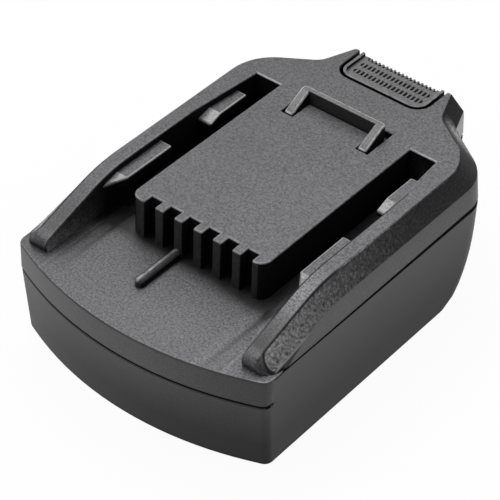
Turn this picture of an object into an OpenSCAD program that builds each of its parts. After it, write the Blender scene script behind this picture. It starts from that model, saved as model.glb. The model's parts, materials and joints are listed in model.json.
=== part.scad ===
// Tool battery adapter: slides into a tool's battery foot and carries a battery of another kind below.
// Millimetres, +Z up, front (contact slots) to -Y, origin at the middle of the bottom rim.

/* [Body] */
// Width of the body at deck level
body_w = 76; // [74:0.5:84]
// Overall length, front of the deck to the back of the neck
body_l = 112.5; // [110:0.5:122]
// Height of the deck above the bottom rim
deck_h = 28; // [27.5:0.5:32]
// Height of the rails and the terminal block above the deck
rail_h = 11.2; // [10.8:0.1:13]
// Wall thickness of both shells
wall = 2.4; // [2:0.1:2.6]
// Thickness of the top wall over the latch and the contacts
top_wall = 2.2; // [1.8:0.1:2.4]
// Open seam between the two shells
seam = 0.3; // [0.1:0.05:0.4]
// Clearance between pieces that are put together
fit = 0.15; // [0.1:0.05:0.25]
// Radial clearance of a screw in its hole
screw_fit = 0.05; // [0.03:0.01:0.1]

/* [Front and deck] */
// Deck length ahead of the terminal block, on the centre line
deck_l = 28.5; // [26:0.5:30]
// How far the front edge bows out between its corners
front_bow = 8.3; // [5:0.1:9]
// Radius of the front corners
front_r = 2.8; // [1.4:0.1:3]
// Depth of the front skirt below the deck
skirt_h = 8; // [7:0.1:9]
// How far the front leans in from the skirt to the bottom rim
front_lean = 1.8; // [1:0.1:3]
// How far each side leans in from the deck to the bottom rim
side_lean = 0.4; // [0.2:0.1:1.2]
// Distance of the key rib from the centre line
rib_x = -5.4; // [-8:0.1:8]
// Width of the key rib
rib_w = 2.3; // [1.2:0.1:2.4]
// Height of the key rib
rib_h = 2.2; // [1.4:0.1:2.6]
// Length of the key rib ahead of the terminal block
rib_l = 14.6; // [8:0.1:18]
// Distance of the middle of each shallow track on the deck from the rail
track_in = 4.3; // [3:0.1:5]
// Width of a track
track_w = 4.1; // [3:0.1:5]
// Depth of a track at the face of the terminal block
track_d = 0.3; // [0.2:0.05:0.4]
// Length over which a track runs out, ahead of that face
track_l = 17; // [10:0.5:18]
// Start of the tracks behind that face
track_back = 6; // [4:0.5:8]

/* [Rails] */
// Width of a rail's flat top
rail_w = 3.9; // [3.4:0.1:4.6]
// Run of the flank, from the rail's outer edge to the deck's edge
flank_w = 4.4; // [4:0.1:5]
// Run of the grained band at the top of the flank
band_w = 3; // [2.6:0.1:3.4]
// Height of the grained band
band_h = 5.6; // [5:0.1:6.4]
// Where the ramp meets the flat top, behind the face of the terminal block
ramp_start = 10; // [8:0.5:12]
// Reach of the rail's nose ahead of the face of the terminal block
nose_l = 19.6; // [18:0.1:20]
// Height of the nose above the deck
nose_h = 4.1; // [3.6:0.1:4.6]
// Radius of the nose
nose_r = 2.5; // [2.1:0.1:2.8]
// Radius of the nose's outer corner, seen from above
nose_corner = 5; // [4:0.1:5.5]
// Radius of the bend between the ramp and the flat top
bend_r = 39; // [25:1:45]
// Closed end of the channels ahead of the back of the neck
channel_back = 26.5; // [25:0.5:29]
// How much each channel narrows towards its closed end
channel_taper = 1.9; // [1:0.1:2.4]
// Length over which it narrows
taper_l = 22.5; // [16:0.5:26]

/* [Hold-down tabs] */
// Thickness of the tabs
tab_t = 3; // [2.4:0.1:3.6]
// Top of the tabs below the rail's top
tab_drop = 2; // [1.6:0.1:3]
// Fall of the ramp at the front of a tab
tab_fall = 1.4; // [1:0.1:1.8]
// Reach of the front tabs from the rail
tab_front_w = 3.5; // [2.5:0.1:4.2]
// Start of the front tabs behind the face of the terminal block
tab_front_y = 1; // [0:0.5:3]
// Length of the front tabs
tab_front_l = 21.5; // [18:0.5:24]
// Length of the ramp of the front tabs
tab_front_ramp = 5.2; // [4:0.1:6]
// Reach of the rear tabs from the rail
tab_rear_w = 4.2; // [3:0.1:4.6]
// Start of the rear tabs ahead of the closed end of the channels
tab_rear_y = 21; // [18:0.5:23]
// Length of the rear tabs
tab_rear_l = 14.2; // [11:0.1:16]
// Length of the ramp of the rear tabs
tab_rear_ramp = 4; // [3:0.1:5]

/* [Terminal block] */
// Width of the terminal block outside the middle of its outermost slot
block_side = 5.1; // [4.4:0.1:5.4]
// Radius of its front corners
block_r = 3; // [1.5:0.1:4]
// Number of contact slots
slot_n = 6; // [4:1:6]
// Spacing of the contact slots
slot_pitch = 5.84; // [5.4:0.02:5.9]
// Width of a contact slot at the face
slot_w = 3.3; // [2.8:0.1:3.6]
// Depth of the wide part of a contact slot
slot_d = 3; // [2.4:0.1:3.6]
// Width of the slit behind a contact slot
slit_w = 1.5; // [1.2:0.1:1.8]
// Depth of the slit
slit_d = 2; // [1.6:0.1:2.4]
// Offset of the row of slots from the centre line
slot_shift = 0.5; // [0:0.1:0.8]

/* [Neck and rear] */
// Half width of the neck's top at its root
neck_root = 18.7; // [18:0.1:20]
// Half width of the neck's top at its end
neck_end = 14.9; // [14.7:0.1:16]
// Root of the neck ahead of its back
neck_y = 11.4; // [10:0.1:13]
// Run of the rear face of the neck from its top edge to the deck
rear_run = 1.4; // [1:0.1:3]
// Run of the facet at the top of the neck's sides
facet_w = 3.8; // [3:0.1:4.2]
// Height of that facet
facet_h = 3.8; // [3:0.1:4.6]
// Run of the flank behind the shoulders, which overhangs the strip below it
shoulder_w = 5; // [4.4:0.1:5.6]
// Where the shoulder starts, ahead of the back of the neck
shoulder_y = 21.5; // [20:0.1:24]
// Radius of the top of the rear corners
rear_r = 14; // [8:0.1:15]
// Radius of the top where the neck leaves the shoulder
root_r = 6.2; // [5:0.1:8]
// Depth of the neck below the deck
neck_drop = 7.6; // [7:0.1:7.8]
// How far the stern curves in at the bottom rim
stern_l = 9.5; // [7:0.5:13]

/* [Latch] */
// Travel of the latch
latch_travel = 3.6; // [3:0.1:4]
// Height of the hook above the top
hook_h = 3.5; // [3:0.1:3.6]
// Width of the hook over its legs
hook_w = 25.2; // [22:0.1:26]
// Width of a hook leg
leg_w = 2.5; // [2:0.1:3]
// Front of the hook's bar ahead of the back of the neck
hook_y = 27.8; // [27:0.1:29]
// Thickness of the hook's bar
hook_t = 1.7; // [1.5:0.1:2.2]
// Length of the sloping legs ahead of the bar
leg_l = 6.8; // [5:0.1:7.5]
// Gap at the outer side of the hook's legs
hook_gap = 0.8; // [0.4:0.1:1]
// Gap at the inner side of the hook's legs and at its front
hook_inner_gap = 0.4; // [0.35:0.05:0.6]
// Width of the button's opening
button_w = 27.4; // [25:0.1:28]
// Front edge of the button's opening ahead of the back of the neck
button_y = 13.2; // [12:0.1:14]
// Corner radius of the opening
button_r = 4.4; // [3:0.1:5]
// Gap around the button
button_gap = 0.9; // [0.5:0.1:1.1]
// Height of the button's back face
button_h = 6.8; // [6:0.1:7]
// Width of the button's rim
rim_w = 0.8; // [0.6:0.1:1.2]
// Depth of the pad below the rim
pad_d = 1; // [0.3:0.1:1.1]
// Number of grooves on the pad
groove_n = 3; // [2:1:3]
// Spacing of the grooves
groove_pitch = 3.15; // [2.6:0.05:3.3]
// Middle of the rearmost groove ahead of the rear edge of the top
groove_back = 0.45; // [0.3:0.05:0.6]
// Width of a groove
groove_w = 1.8; // [1:0.1:2]
// Length of the grooves
groove_l = 21.4; // [16:0.1:22]
// Outer diameter of a return spring
spring_d = 6; // [5:0.1:6.4]
// Wire diameter of a return spring
spring_wire = 0.7; // [0.5:0.05:0.8]
// Turns of a return spring
spring_turns = 6; // [4:1:6]
// Distance of each spring from the centre line
spring_x = 8; // [6:0.1:9]

/* [Battery bay] */
// Thickness of the wall on each side of the bay, above its lips
bay_wall = 10; // [9.6:0.1:11]
// Height of the bay's ceiling above the bottom rim
bay_h = 15; // [13.5:0.1:15.2]
// Reach of each lip
lip_w = 4; // [3:0.1:5]
// Height of the lips
lip_h = 4.2; // [3.6:0.1:5]
// Front of the bay ahead of the face of the terminal block
bay_front = 8; // [6:0.5:9]
// Width of the window that takes the battery's latch
catch_w = 16; // [10:0.5:20]
// Length of that window
catch_l = 5; // [4.2:0.1:6]

/* [Electrics] */
// Thickness of the circuit board
board_t = 1.6; // [1.2:0.1:2]
// Width of the circuit board
board_w = 35; // [33:0.5:35.5]
// Length of the circuit board
board_l = 46; // [45:0.5:48]
// Height of the board's posts
post_h = 2; // [1.5:0.1:2.4]
// Thickness of a contact clip's leaf
leaf_t = 0.4; // [0.3:0.05:0.5]
// Height of a contact clip
clip_h = 9; // [7:0.1:10]
// Thickness of a battery blade
blade_t = 0.8; // [0.6:0.1:1]
// Height of a battery blade
blade_h = 5; // [4:0.1:5.4]
// Length of a battery blade inside the bay
blade_l = 11; // [8:0.1:13]
// Spacing of the power blades from the centre line
blade_x = 9; // [7:0.1:9.5]
// Diameter of a power lead
lead_d = 1.8; // [1.4:0.1:2]
// Diameter of the signal lead
signal_d = 1.2; // [0.9:0.1:1.4]

/* [Screws] */
// Diameter of a housing screw
screw_d = 3; // [2.5:0.1:3.2]
// Diameter of its head
screw_head = 5.4; // [5:0.1:5.8]
// Distance of the housing screws from the side
screw_in = 6; // [5.8:0.1:6.2]
// Diameter of a small screw
small_d = 2; // [1.6:0.1:2.2]
// Diameter of its head
small_head = 3.8; // [3.4:0.1:4]

/* [Hidden] */
$fn = 48;

// Lap of pieces that are joined, how far cuts run past a face, and a length beyond everything
lap = 1;
past = 1;
far = 200;

// Heights
top_z = deck_h + rail_h;
band_z = top_z - band_h;
skirt_z = deck_h - skirt_h;
floor_z = bay_h + wall;
under_top = top_z - top_wall;
board_z = floor_z + post_h;
board_top = board_z + board_t;

// Places along the length, behind the face of the terminal block or ahead of the back of the neck
face_y = deck_l - body_l/2;
rear_y = body_l/2;
function behind(v) = face_y + v;
function ahead(v) = rear_y - v;
corner_y = front_bow - body_l/2;
skirt_y = corner_y + front_r;
neck_top_y = ahead(rear_run);
neck_root_y = ahead(neck_y);
hook_front = ahead(hook_y);
channel_y = ahead(channel_back);
channel_l = channel_y - face_y;
comb_d = slot_d + slit_d;
bay_y = behind(-bay_front);

// Places across the width
half_w = body_w/2;
rail_out = half_w - flank_w;
rail_in = rail_out - rail_w;
block_half = slot_shift + (slot_n - 1)/2*slot_pitch + block_side;
block_w = 2*block_half;
cavity_half = block_half - wall;
bay_half = half_w - bay_wall;
screw_x = half_w - screw_in;
track_x = rail_in - track_in;
tongue_half = hook_w/2 - leg_w - hook_inner_gap;

// Outline maths: a corner is [x, y, radius, steps], counter-clockwise; a fifth value numbers the edge
// that leaves it, for offsets that differ from edge to edge
function spot(v) = [v[0], v[1]];
function cross2(a, b) = a[0]*b[1] - a[1]*b[0];
function unit(v) = v/norm(v);
function outward(a, b) = let (u = unit(b - a)) [u[1], -u[0]];
function turned(v, a) = [v[0]*cos(a) - v[1]*sin(a), v[0]*sin(a) + v[1]*cos(a)];
function meet(p, u, q, v) = p + u*cross2(q - p, v)/cross2(u, v);
function next(vs, i) = vs[(i + 1) % len(vs)];
function last(vs, i) = vs[(i + len(vs) - 1) % len(vs)];
function run(d, v) = is_list(d) ? d[v[4]] : d;
function moved(vs, i, d) =
    let (a = spot(last(vs, i)), b = spot(vs[i]), c = spot(next(vs, i)))
    meet(a + outward(a, b)*run(d, last(vs, i)), b - a, b + outward(b, c)*run(d, vs[i]), c - b);
function turn_at(a, b, c) = atan2(cross2(b - a, c - b), (b - a)*(c - b));
function radius_at(vs, i, d) =
    max(vs[i][2] + sign(turn_at(spot(last(vs, i)), spot(vs[i]), spot(next(vs, i))))*d, least_r);
function rounded(vs, i, d) =
    let (n = len(vs), a = moved(vs, (i + n - 1) % n, d), b = moved(vs, i, d), c = moved(vs, (i + 1) % n, d),
         turn = turn_at(a, b, c), r = radius_at(vs, i, d), u = unit(b - a),
         p = b - u*r*tan(abs(turn)/2), middle = p + sign(turn)*r*[-u[1], u[0]])
    [for (k = [0:vs[i][3]]) middle + turned(p - middle, turn*k/vs[i][3])];
function outline(vs, d) = [for (i = [0:len(vs) - 1]) each rounded(vs, i, d)];
least_r = 0.2;

// Plan of the top, whose front edge stands still when the flanks spread
// The bow's ends run straight into the corners, so its slope there is a little less than an arc's
bow_ease = 0.89;
bow_a = bow_ease*2*atan(front_bow/half_w);
bow_tip = corner_y - half_w*tan(bow_a);
bow_r = (half_w*tan(bow_a) - front_bow)/(1/cos(bow_a) - 1);
front_top_y = corner_y - flank_w*tan(bow_a);
end_r = 0.6;
top_plan = [
    [0, bow_tip, 0, 20, 0],
    [rail_out, front_top_y, 1, 4, 1],
    [rail_out, ahead(shoulder_y), 2, 9, 2],
    [neck_root, neck_root_y, 3, 5, 3],
    [neck_end, neck_top_y, 4, 3, 4],
    [-neck_end, neck_top_y, 4, 3, 3],
    [-neck_root, neck_root_y, 3, 5, 2],
    [-rail_out, ahead(shoulder_y), 2, 9, 1],
    [-rail_out, front_top_y, 1, 4, 0]];

// The same plan at a level: runs of the front, sides, shoulders, neck and rear, then radii of the bow,
// the front corners, the rear corners, the neck's roots and its end
function level(runs, radii) =
    [for (i = [0:len(top_plan) - 1])
        concat(moved(top_plan, i, runs), [radii[top_plan[i][2]], top_plan[i][3]])];
facet_z = top_z - facet_h;
facet_share = facet_h/band_h;
neck_flare = 0.3;
strip_in = 0.9;
front_top_r = front_r - flank_w/2;
deck_rear_r = 9;
summit = level([0, 0, 0, 0, 0], [bow_r, front_top_r, rear_r, root_r, end_r]);
facet_plan = level(
    [0, band_w*facet_share, shoulder_w*facet_share, facet_w, rear_run*facet_h/rail_h],
    [bow_r, (front_top_r + front_r)/2, rear_r, root_r - facet_w/2, end_r]);
band_plan = level(
    [0, band_w, shoulder_w, facet_w + neck_flare/2, rear_run*band_h/rail_h],
    [bow_r, (front_top_r + front_r)/2, rear_r, root_r - facet_w/2, end_r]);
deck_plan = level(
    [0, flank_w, shoulder_w - strip_in, facet_w + neck_flare, rear_run],
    [bow_r, front_r, deck_rear_r, root_r - facet_w/2, end_r]);

// Plan of the tub at a height: the front leans in and the stern curves in towards the bottom rim
tail_r = 3;
function below_skirt(z) = max(0, min(1, (skirt_z - z)/skirt_z));
function stern_at(z) = stern_l*(1 - sqrt(1 - pow(below_skirt(z), 2)));
function lean_at(z) = side_lean*(deck_h - z)/deck_h;
function slid(v, y) = [v[0], v[1] + y, v[2], v[3]];
function tail(v, y) = [v[0], v[1] + y, tail_r, 4];
function tub_plan(z) =
    let (f = front_lean*below_skirt(z), s = -stern_at(z))
    [slid(deck_plan[0], f), slid(deck_plan[1], f), slid(deck_plan[2], s), tail(deck_plan[3], s),
     tail(deck_plan[6], s), slid(deck_plan[7], s), slid(deck_plan[8], f)];

// A closed solid through rings of points, each ring counter-clockwise seen from the last one
module loft(rings) {
    n = len(rings[0]);
    m = len(rings);
    polyhedron(
        points = [for (ring = rings) each ring],
        faces = concat(
            [[for (i = [0:n - 1]) i]],
            [[for (i = [n - 1:-1:0]) (m - 1)*n + i]],
            [for (k = [0:m - 2], i = [0:n - 1]) [k*n + i, (k + 1)*n + i, (k + 1)*n + (i + 1) % n]],
            [for (k = [0:m - 2], i = [0:n - 1]) [k*n + i, (k + 1)*n + (i + 1) % n, k*n + (i + 1) % n]]),
        convexity = 8);
}
function at_height(ps, z) = [for (p = ps) [p[0], p[1], z]];

// A prism on a plan outline
module prism(ps, z0, z1) {
    translate([0, 0, z0])
        linear_extrude(z1 - z0)
            polygon(ps);
}

// A box from its two corners
module box(a, b) {
    translate(a)
        cube(b - a);
}

module both_sides() {
    children();
    mirror([1, 0, 0])
        children();
}

// A side profile in Y and Z, drawn out along X
module across(ps, x0, x1) {
    translate([x0, 0, 0])
        rotate([90, 0, 90])
            linear_extrude(x1 - x0)
                polygon(ps);
}

// A tube along points, with an even ring at each
tube_sides = 8;
function way(ps, i) = unit(ps[min(i + 1, len(ps) - 1)] - ps[max(i - 1, 0)]);
function tube_ring(p, dir, side, r, n) =
    let (b = cross(dir, side))
    [for (k = [0:n - 1]) p + r*(cos(360*k/n)*side + sin(360*k/n)*b)];

// A pan-head screw with a cross recess, its head's underside at the origin and its tip along +Z
// Shares of the head's diameter: its height, and the recess's length, width and depth
head_share = 0.5;
recess = [0.6, 0.16, 0.12];
module screw(d, head, l) {
    head_h = head*head_share;
    difference() {
        union() {
            translate([0, 0, -head_h/2])
                cylinder(d = d, h = l + head_h/2);
            translate([0, 0, -head_h])
                cylinder(d = head, h = head_h);
        }
        for (a = [0, 90])
            rotate(a)
                translate([0, 0, -head_h])
                    cube([head*recess[0], head*recess[1], 2*head*recess[2]], center = true);
    }
}

// Raised part of the upper shell

// Side profile of the ramp: the bend, the straight slope and the round nose
bend_mid = [behind(ramp_start), top_z - bend_r];
nose_mid = [behind(-nose_l) + nose_r, deck_h + nose_h - nose_r];
ramp_reach = bend_mid - nose_mid;
ramp_a = atan2(ramp_reach[0], -ramp_reach[1]) - acos((bend_r - nose_r)/norm(ramp_reach));
nose_under = 165;
ramp_base = deck_h - 2*rail_h;
keep_y = bend_mid[0] + lap;
bend_steps = 6;
nose_steps = 12;
function on_arc(mid, r, a) = mid + r*[-sin(a), cos(a)];
ramp_profile = concat(
    [[keep_y, top_z + past]],
    [for (k = [0:bend_steps]) on_arc(bend_mid, bend_r, ramp_a*k/bend_steps)],
    [for (k = [0:nose_steps]) on_arc(nose_mid, nose_r, ramp_a + (nose_under - ramp_a)*k/nose_steps)],
    [[nose_mid[0], ramp_base], [keep_y, ramp_base]]);

// The flank leans out more and more towards the nose, where it comes down to the deck's edge
nose_slope = nose_h/flank_w;
band_slope = band_h/band_w;
lean_power = 1.5;
function up_ramp(z) = max(0, min(1, (z - deck_h - nose_h)/(rail_h - nose_h)));
function flank_slope(z) = nose_slope + (band_slope - nose_slope)*pow(up_ramp(z), lean_power);
function at_nose(i) = i > bend_steps + 1 && i < len(ramp_profile) - 1 ? 1 : 0;
function ramp_section(x, back) =
    [for (i = [0:len(ramp_profile) - 1]) let (p = ramp_profile[i])
        [x, p[0] + back*at_nose(i), p[1] - max(0, x - rail_out)*flank_slope(p[1])]];

// Sections across a rail: straight over its top, then set back round the nose's outer corner
corner_steps = 5;
corner_a = asin(max(0, 1 - flank_w/nose_corner));
module ramp() {
    loft(concat(
        [ramp_section(rail_in - lap, 0), ramp_section(rail_out, 0)],
        [for (k = [1:corner_steps]) let (a = corner_a + (90 - corner_a)*k/corner_steps)
            ramp_section(half_w - nose_corner*(1 - sin(a)), nose_corner*(1 - cos(a)))],
        [ramp_section(half_w + lap, nose_corner)]));
}

// The drafted outer form above the deck
module crown() {
    loft([at_height(outline(deck_plan, 0), deck_h), at_height(outline(band_plan, 0), band_z),
        at_height(outline(facet_plan, 0), facet_z), at_height(outline(summit, 0), top_z)]);
}

module trench() {
    narrow = rail_in - channel_taper;
    taper_y = channel_y - taper_l;
    prism([[-rail_in, -far], [rail_in, -far], [rail_in, taper_y], [narrow, channel_y],
        [-narrow, channel_y], [-rail_in, taper_y]], 0, top_z + past);
}

module block() {
    translate([0, 0, deck_h - lap])
        linear_extrude(rail_h + lap + past)
            union() {
                translate([-block_half, behind(block_r)])
                    square([block_w, channel_l]);
                translate([block_r - block_half, face_y])
                    square([block_w - 2*block_r, channel_l]);
                for (x = [-1, 1])
                    translate([x*(block_half - block_r), behind(block_r)])
                        circle(block_r);
            }
}

module raised() {
    intersection() {
        crown();
        union() {
            difference() {
                union() {
                    both_sides() ramp();
                    box([-half_w, keep_y - lap/2, deck_h - rail_h], [half_w, rear_y + past, top_z + past]);
                }
                trench();
            }
            block();
        }
    }
}

// A tab on a rail's inner wall, with a ramp at its front; a pointed one also narrows to its tip
module tab(y0, l, ramp_l, reach, pointed) {
    root = rail_in + wall/2;
    tip = rail_in - reach;
    tab_top = top_z - tab_drop;
    y1 = y0 + l;
    tip_y = y0 + (pointed ? ramp_l : 0);
    intersection() {
        across([[y0, tab_top - tab_t], [y1, tab_top - tab_t], [y1, tab_top], [y0 + ramp_l, tab_top],
            [y0, tab_top - tab_fall]], tip, root);
        prism([[root, y0], [root, y1 + past], [tip - past, y1 + past], [tip - past, tip_y], [tip, tip_y],
            [rail_in, y0]], deck_h, top_z);
    }
}

module key_rib() {
    tip = behind(rib_w/2 - rib_l);
    crest = deck_h + rib_h - rib_w/2;
    translate([rib_x, 0, 0]) {
        box([-rib_w/2, tip, deck_h - lap], [rib_w/2, behind(lap), crest]);
        translate([0, tip, deck_h - lap])
            cylinder(d = rib_w, h = crest - deck_h + lap);
        translate([0, tip, crest])
            sphere(d = rib_w);
        translate([0, tip, crest])
            rotate([-90, 0, 0])
                cylinder(d = rib_w, h = rib_l - rib_w/2 + lap);
    }
}

// The part of the tub below the neck, whose sides run on into the tub
neck_z = deck_h - neck_drop;
neck_lap = 8;
function on_line(a, b, y) = [a[0] + (b[0] - a[0])*(y - a[1])/(b[1] - a[1]), y];
neck_side = on_line(deck_plan[3], deck_plan[4], neck_root_y - neck_lap);
neck_plan = [
    [neck_side[0], neck_side[1], least_r, 1], deck_plan[4], deck_plan[5],
    [-neck_side[0], neck_side[1], least_r, 1]];

// The room inside the lower shell, or a plug in it with a gap all round
room_in = lean_at(floor_z) + wall;
module room(gap, z0, z1) {
    prism(outline(tub_plan(skirt_z), -room_in - gap), z0, z1);
    prism(outline(neck_plan, -room_in - gap), max(z0, neck_z + wall), z1);
}

// The deck's plate, the thin flange beside the noses and the front skirt
flange_t = 0.6;
flange_y = behind(nose_corner - nose_l);
module deck_plate() {
    room(fit, deck_h - wall, deck_h);
    intersection() {
        prism(outline(deck_plan, 0), deck_h - flange_t, deck_h);
        box([-far, -far, 0], [far, flange_y, far]);
    }
    intersection() {
        difference() {
            prism(outline(deck_plan, 0), skirt_z + seam/2, deck_h);
            prism(outline(deck_plan, -wall), 0, deck_h - wall);
        }
        box([-far, -far, 0], [far, skirt_y, far]);
    }
}

// Cuts of the upper shell

function slot_x(i) = slot_shift + (i - (slot_n - 1)/2)*slot_pitch;
module contact_slots() {
    for (i = [0:slot_n - 1]) {
        box([slot_x(i) - slot_w/2, behind(-past), deck_h],
            [slot_x(i) + slot_w/2, behind(slot_d), top_z + past]);
        box([slot_x(i) - slit_w/2, face_y, deck_h],
            [slot_x(i) + slit_w/2, behind(comb_d + past), under_top]);
    }
}

// Round-bottomed tracks, tilted so that they run out on the deck
module tracks() {
    r = (pow(track_w/2, 2) + pow(track_d, 2))/(2*track_d);
    tilt = atan(track_d/track_l);
    both_sides()
        intersection() {
            translate([track_x, behind(-track_l), deck_h])
                rotate([-90 - tilt, 0, 0])
                    translate([0, -r, 0])
                        cylinder(r = r, h = (track_l + track_back)/cos(tilt));
            box([track_x - r, -far, deck_h - 2*track_d], [track_x + r, far, deck_h + track_d/2]);
        }
}

cavity_y = channel_y + wall;
module latch_room() {
    box([-cavity_half, behind(comb_d), deck_h - 2*wall], [cavity_half, cavity_y + lap, under_top]);
    intersection() {
        loft([at_height(outline(deck_plan, -room_in), deck_h - 2*wall),
            at_height(outline(deck_plan, -room_in), deck_h),
            at_height(outline(summit, -wall), under_top)]);
        box([-far, cavity_y, 0], [far, neck_top_y - wall/2, far]);
    }
}

module hook_slot() {
    slot_front = hook_front - leg_l - hook_inner_gap;
    slot_rear = hook_front + 2*hook_t;
    outer = hook_w/2 + hook_gap;
    difference() {
        box([-outer, slot_front, under_top - past], [outer, slot_rear, top_z + past]);
        box([-tongue_half, slot_front - past, 0], [tongue_half, hook_front - hook_inner_gap, far]);
    }
}

// Clearance of the latch from what it passes
latch_gap = 0.3;

// Plan of the button's opening, or of the button itself with a gap
module button_plan(gap) {
    half = button_w/2 - gap;
    r = button_r - gap;
    y0 = ahead(button_y) + gap;
    translate([-half, y0 + r])
        square([2*half, rear_y - y0]);
    translate([r - half, y0])
        square([2*(half - r), rear_y - y0]);
    for (x = [-1, 1])
        translate([x*(half - r), y0 + r])
            circle(r);
}
notch_z = top_z - button_h - latch_travel - latch_gap;

// Bosses and screws
boss_r = 2.9;
screw_lead = 8;
screw_back = 42;
screw_ys = [behind(-screw_lead), ahead(screw_back)];
pilot_over = 2.5;
pilot_top = deck_h + pilot_over;
seat_z = 3.4;
tip_gap = 1;
keeper_back = 5.5;
keeper_y = channel_y + keeper_back;
keeper_x = 18.6;
keeper_t = neck_drop - 2*(wall + latch_gap);
keeper_z = neck_z + wall + latch_gap;
keeper_boss_r = 2.8;
keeper_pilot = 8;
module at_screws() {
    for (x = [-screw_x, screw_x], y = screw_ys)
        translate([x, y, 0])
            children();
}
module at_keeper_screws() {
    for (x = [-keeper_x, keeper_x])
        translate([x, keeper_y, keeper_z])
            children();
}

module upper_shell() {
    color("#5b5b5e")
        difference() {
            union() {
                difference() {
                    union() {
                        raised();
                        deck_plate();
                        both_sides()
                            tab(behind(tab_front_y), tab_front_l, tab_front_ramp, tab_front_w, true);
                        both_sides()
                            tab(channel_y - tab_rear_y, tab_rear_l, tab_rear_ramp, tab_rear_w, false);
                        key_rib();
                    }
                    contact_slots();
                    tracks();
                    latch_room();
                    hook_slot();
                    translate([0, 0, notch_z])
                        linear_extrude(far)
                            button_plan(0);
                }
                at_screws()
                    translate([0, 0, floor_z])
                        cylinder(r = boss_r, h = deck_h - floor_z);
                at_keeper_screws()
                    translate([0, 0, keeper_t])
                        cylinder(r = keeper_boss_r, h = under_top - keeper_z - keeper_t + lap);
            }
            at_screws()
                translate([0, 0, floor_z - past])
                    cylinder(d = screw_d + 2*screw_fit, h = pilot_top - floor_z + past);
            at_keeper_screws()
                translate([0, 0, keeper_t - past])
                    cylinder(d = small_d + 2*screw_fit, h = keeper_pilot + past);
        }
}

// Lower shell

rim_heights = [0, 0.1, 0.22, 0.35, 0.5, 0.65, 0.82, 1];
rim_z = deck_h - seam;
module tub() {
    loft(concat(
        [for (t = rim_heights) let (z = t*skirt_z) at_height(outline(tub_plan(z), -lean_at(z)), z)],
        [at_height(outline(tub_plan(rim_z), -lean_at(rim_z)), rim_z)]));
}

module neck_tub() {
    loft([at_height(outline(neck_plan, -lean_at(neck_z)), neck_z),
        at_height(outline(neck_plan, -lean_at(rim_z)), rim_z)]);
}

// Hollow ahead of the bay, where the blades' tails and the leads are
chamber_half = 24;
chamber_in = side_lean + wall;
module chamber() {
    intersection() {
        loft([at_height(outline(tub_plan(0), -chamber_in), wall),
            at_height(outline(tub_plan(skirt_z), -chamber_in), skirt_z)]);
        box([-chamber_half, -far, 0], [chamber_half, bay_y - wall, floor_z + past]);
    }
}

// Pockets that core out the thick side walls between the screws
core_w = 3.2;
core_back = 32;
module side_cores() {
    core_x = bay_half + wall;
    gap = boss_r + wall/2;
    both_sides() {
        box([core_x, screw_ys[0] + gap, wall], [core_x + core_w, screw_ys[1] - gap, floor_z + past]);
        box([core_x, screw_ys[1] + gap, lip_h + wall], [core_x + core_w, ahead(core_back), floor_z + past]);
    }
}

// Window for the terminal block in the bay's front wall
window_half = 13;
window_lip = 1.9;
window_reach = 1.5;
module window(clear) {
    box([clear - window_half, bay_y - wall - past, lip_h + window_lip + clear],
        [window_half - clear, bay_y + window_reach, bay_h - window_lip - clear]);
}

// The lips stop ahead of the curve of the stern
lip_stop = 9;
lip_rear = neck_root_y - lip_stop;
catch_back = 38;
catch_y = ahead(catch_back);

// Posts under the board, set in from its front and its rear
board_lead = 4;
board_y = behind(-board_lead);
post_x = 15;
post_in = [4, 3];
post_r = 2;
module at_posts() {
    for (x = [-post_x, post_x], y = [board_y + post_in[0], board_y + board_l - post_in[1]])
        translate([x, y, 0])
            children();
}

module lower_shell() {
    color("#505052")
        difference() {
            union() {
                difference() {
                    union() {
                        tub();
                        neck_tub();
                    }
                    room(0, floor_z, deck_h + past);
                    chamber();
                    side_cores();
                }
                at_posts()
                    translate([0, 0, floor_z - lap])
                        cylinder(r = post_r, h = post_h + lap);
            }
            box([-far, -far, skirt_z - seam/2], [far, skirt_y, far]);
            box([-far, -far, deck_h - flange_t], [far, flange_y, far]);
            box([-bay_half, bay_y, lip_h], [bay_half, far, bay_h]);
            box([lip_w - bay_half, bay_y, -past], [bay_half - lip_w, far, lip_h + past]);
            box([-bay_half, lip_rear, -past], [bay_half, far, lip_h + past]);
            box([-catch_w/2, catch_y, bay_h - past], [catch_w/2, catch_y + catch_l, floor_z + past]);
            window(0);
            at_screws() {
                translate([0, 0, -past])
                    cylinder(d = screw_head + 4*fit, h = seat_z + past);
                cylinder(d = screw_d + 2*fit, h = floor_z + past);
            }
            at_posts()
                translate([0, 0, floor_z - wall/2])
                    cylinder(d = small_d + 2*screw_fit, h = far);
        }
}

// Latch

plate_top = under_top - latch_gap;
plate_t = 2.5;
foot_z = plate_top - plate_t;
plate_half = 15;
plate_toe = 1.8;
plate_heel = 4.5;
plate_front = hook_front - leg_l - plate_toe;
plate_rear = keeper_y + plate_heel;
button_wall = 1.6;
button_in = neck_top_y - 2*button_wall;
arm_half = 9;
arm_rear = button_in - fit;
peg_x = 5.5;
peg_d = 2.6;
peg_y = arm_rear - peg_d;
spring_y = keeper_y;

module at_pegs() {
    for (x = [-peg_x, peg_x])
        translate([x, peg_y, 0])
            children();
}

module latch_hook() {
    y0 = hook_front;
    back = y0 + hook_t;
    hook_top = top_z + hook_h;
    color("#58585a")
        difference() {
            union() {
                box([-plate_half, plate_front, foot_z], [plate_half, plate_rear, plate_top]);
                box([-arm_half, plate_rear - lap, foot_z], [arm_half, arm_rear, plate_top]);
                both_sides()
                    across([[y0 - leg_l, plate_top - lap], [back, plate_top - lap], [back, hook_top],
                        [y0, hook_top], [y0 - leg_l, top_z]], hook_w/2 - leg_w, hook_w/2);
                box([-hook_w/2, y0, plate_top - lap], [hook_w/2, back, hook_top]);
            }
            at_pegs()
                translate([0, 0, foot_z - past])
                    cylinder(d = peg_d + 2*screw_fit, h = plate_t + 2*past);
        }
}

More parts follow.
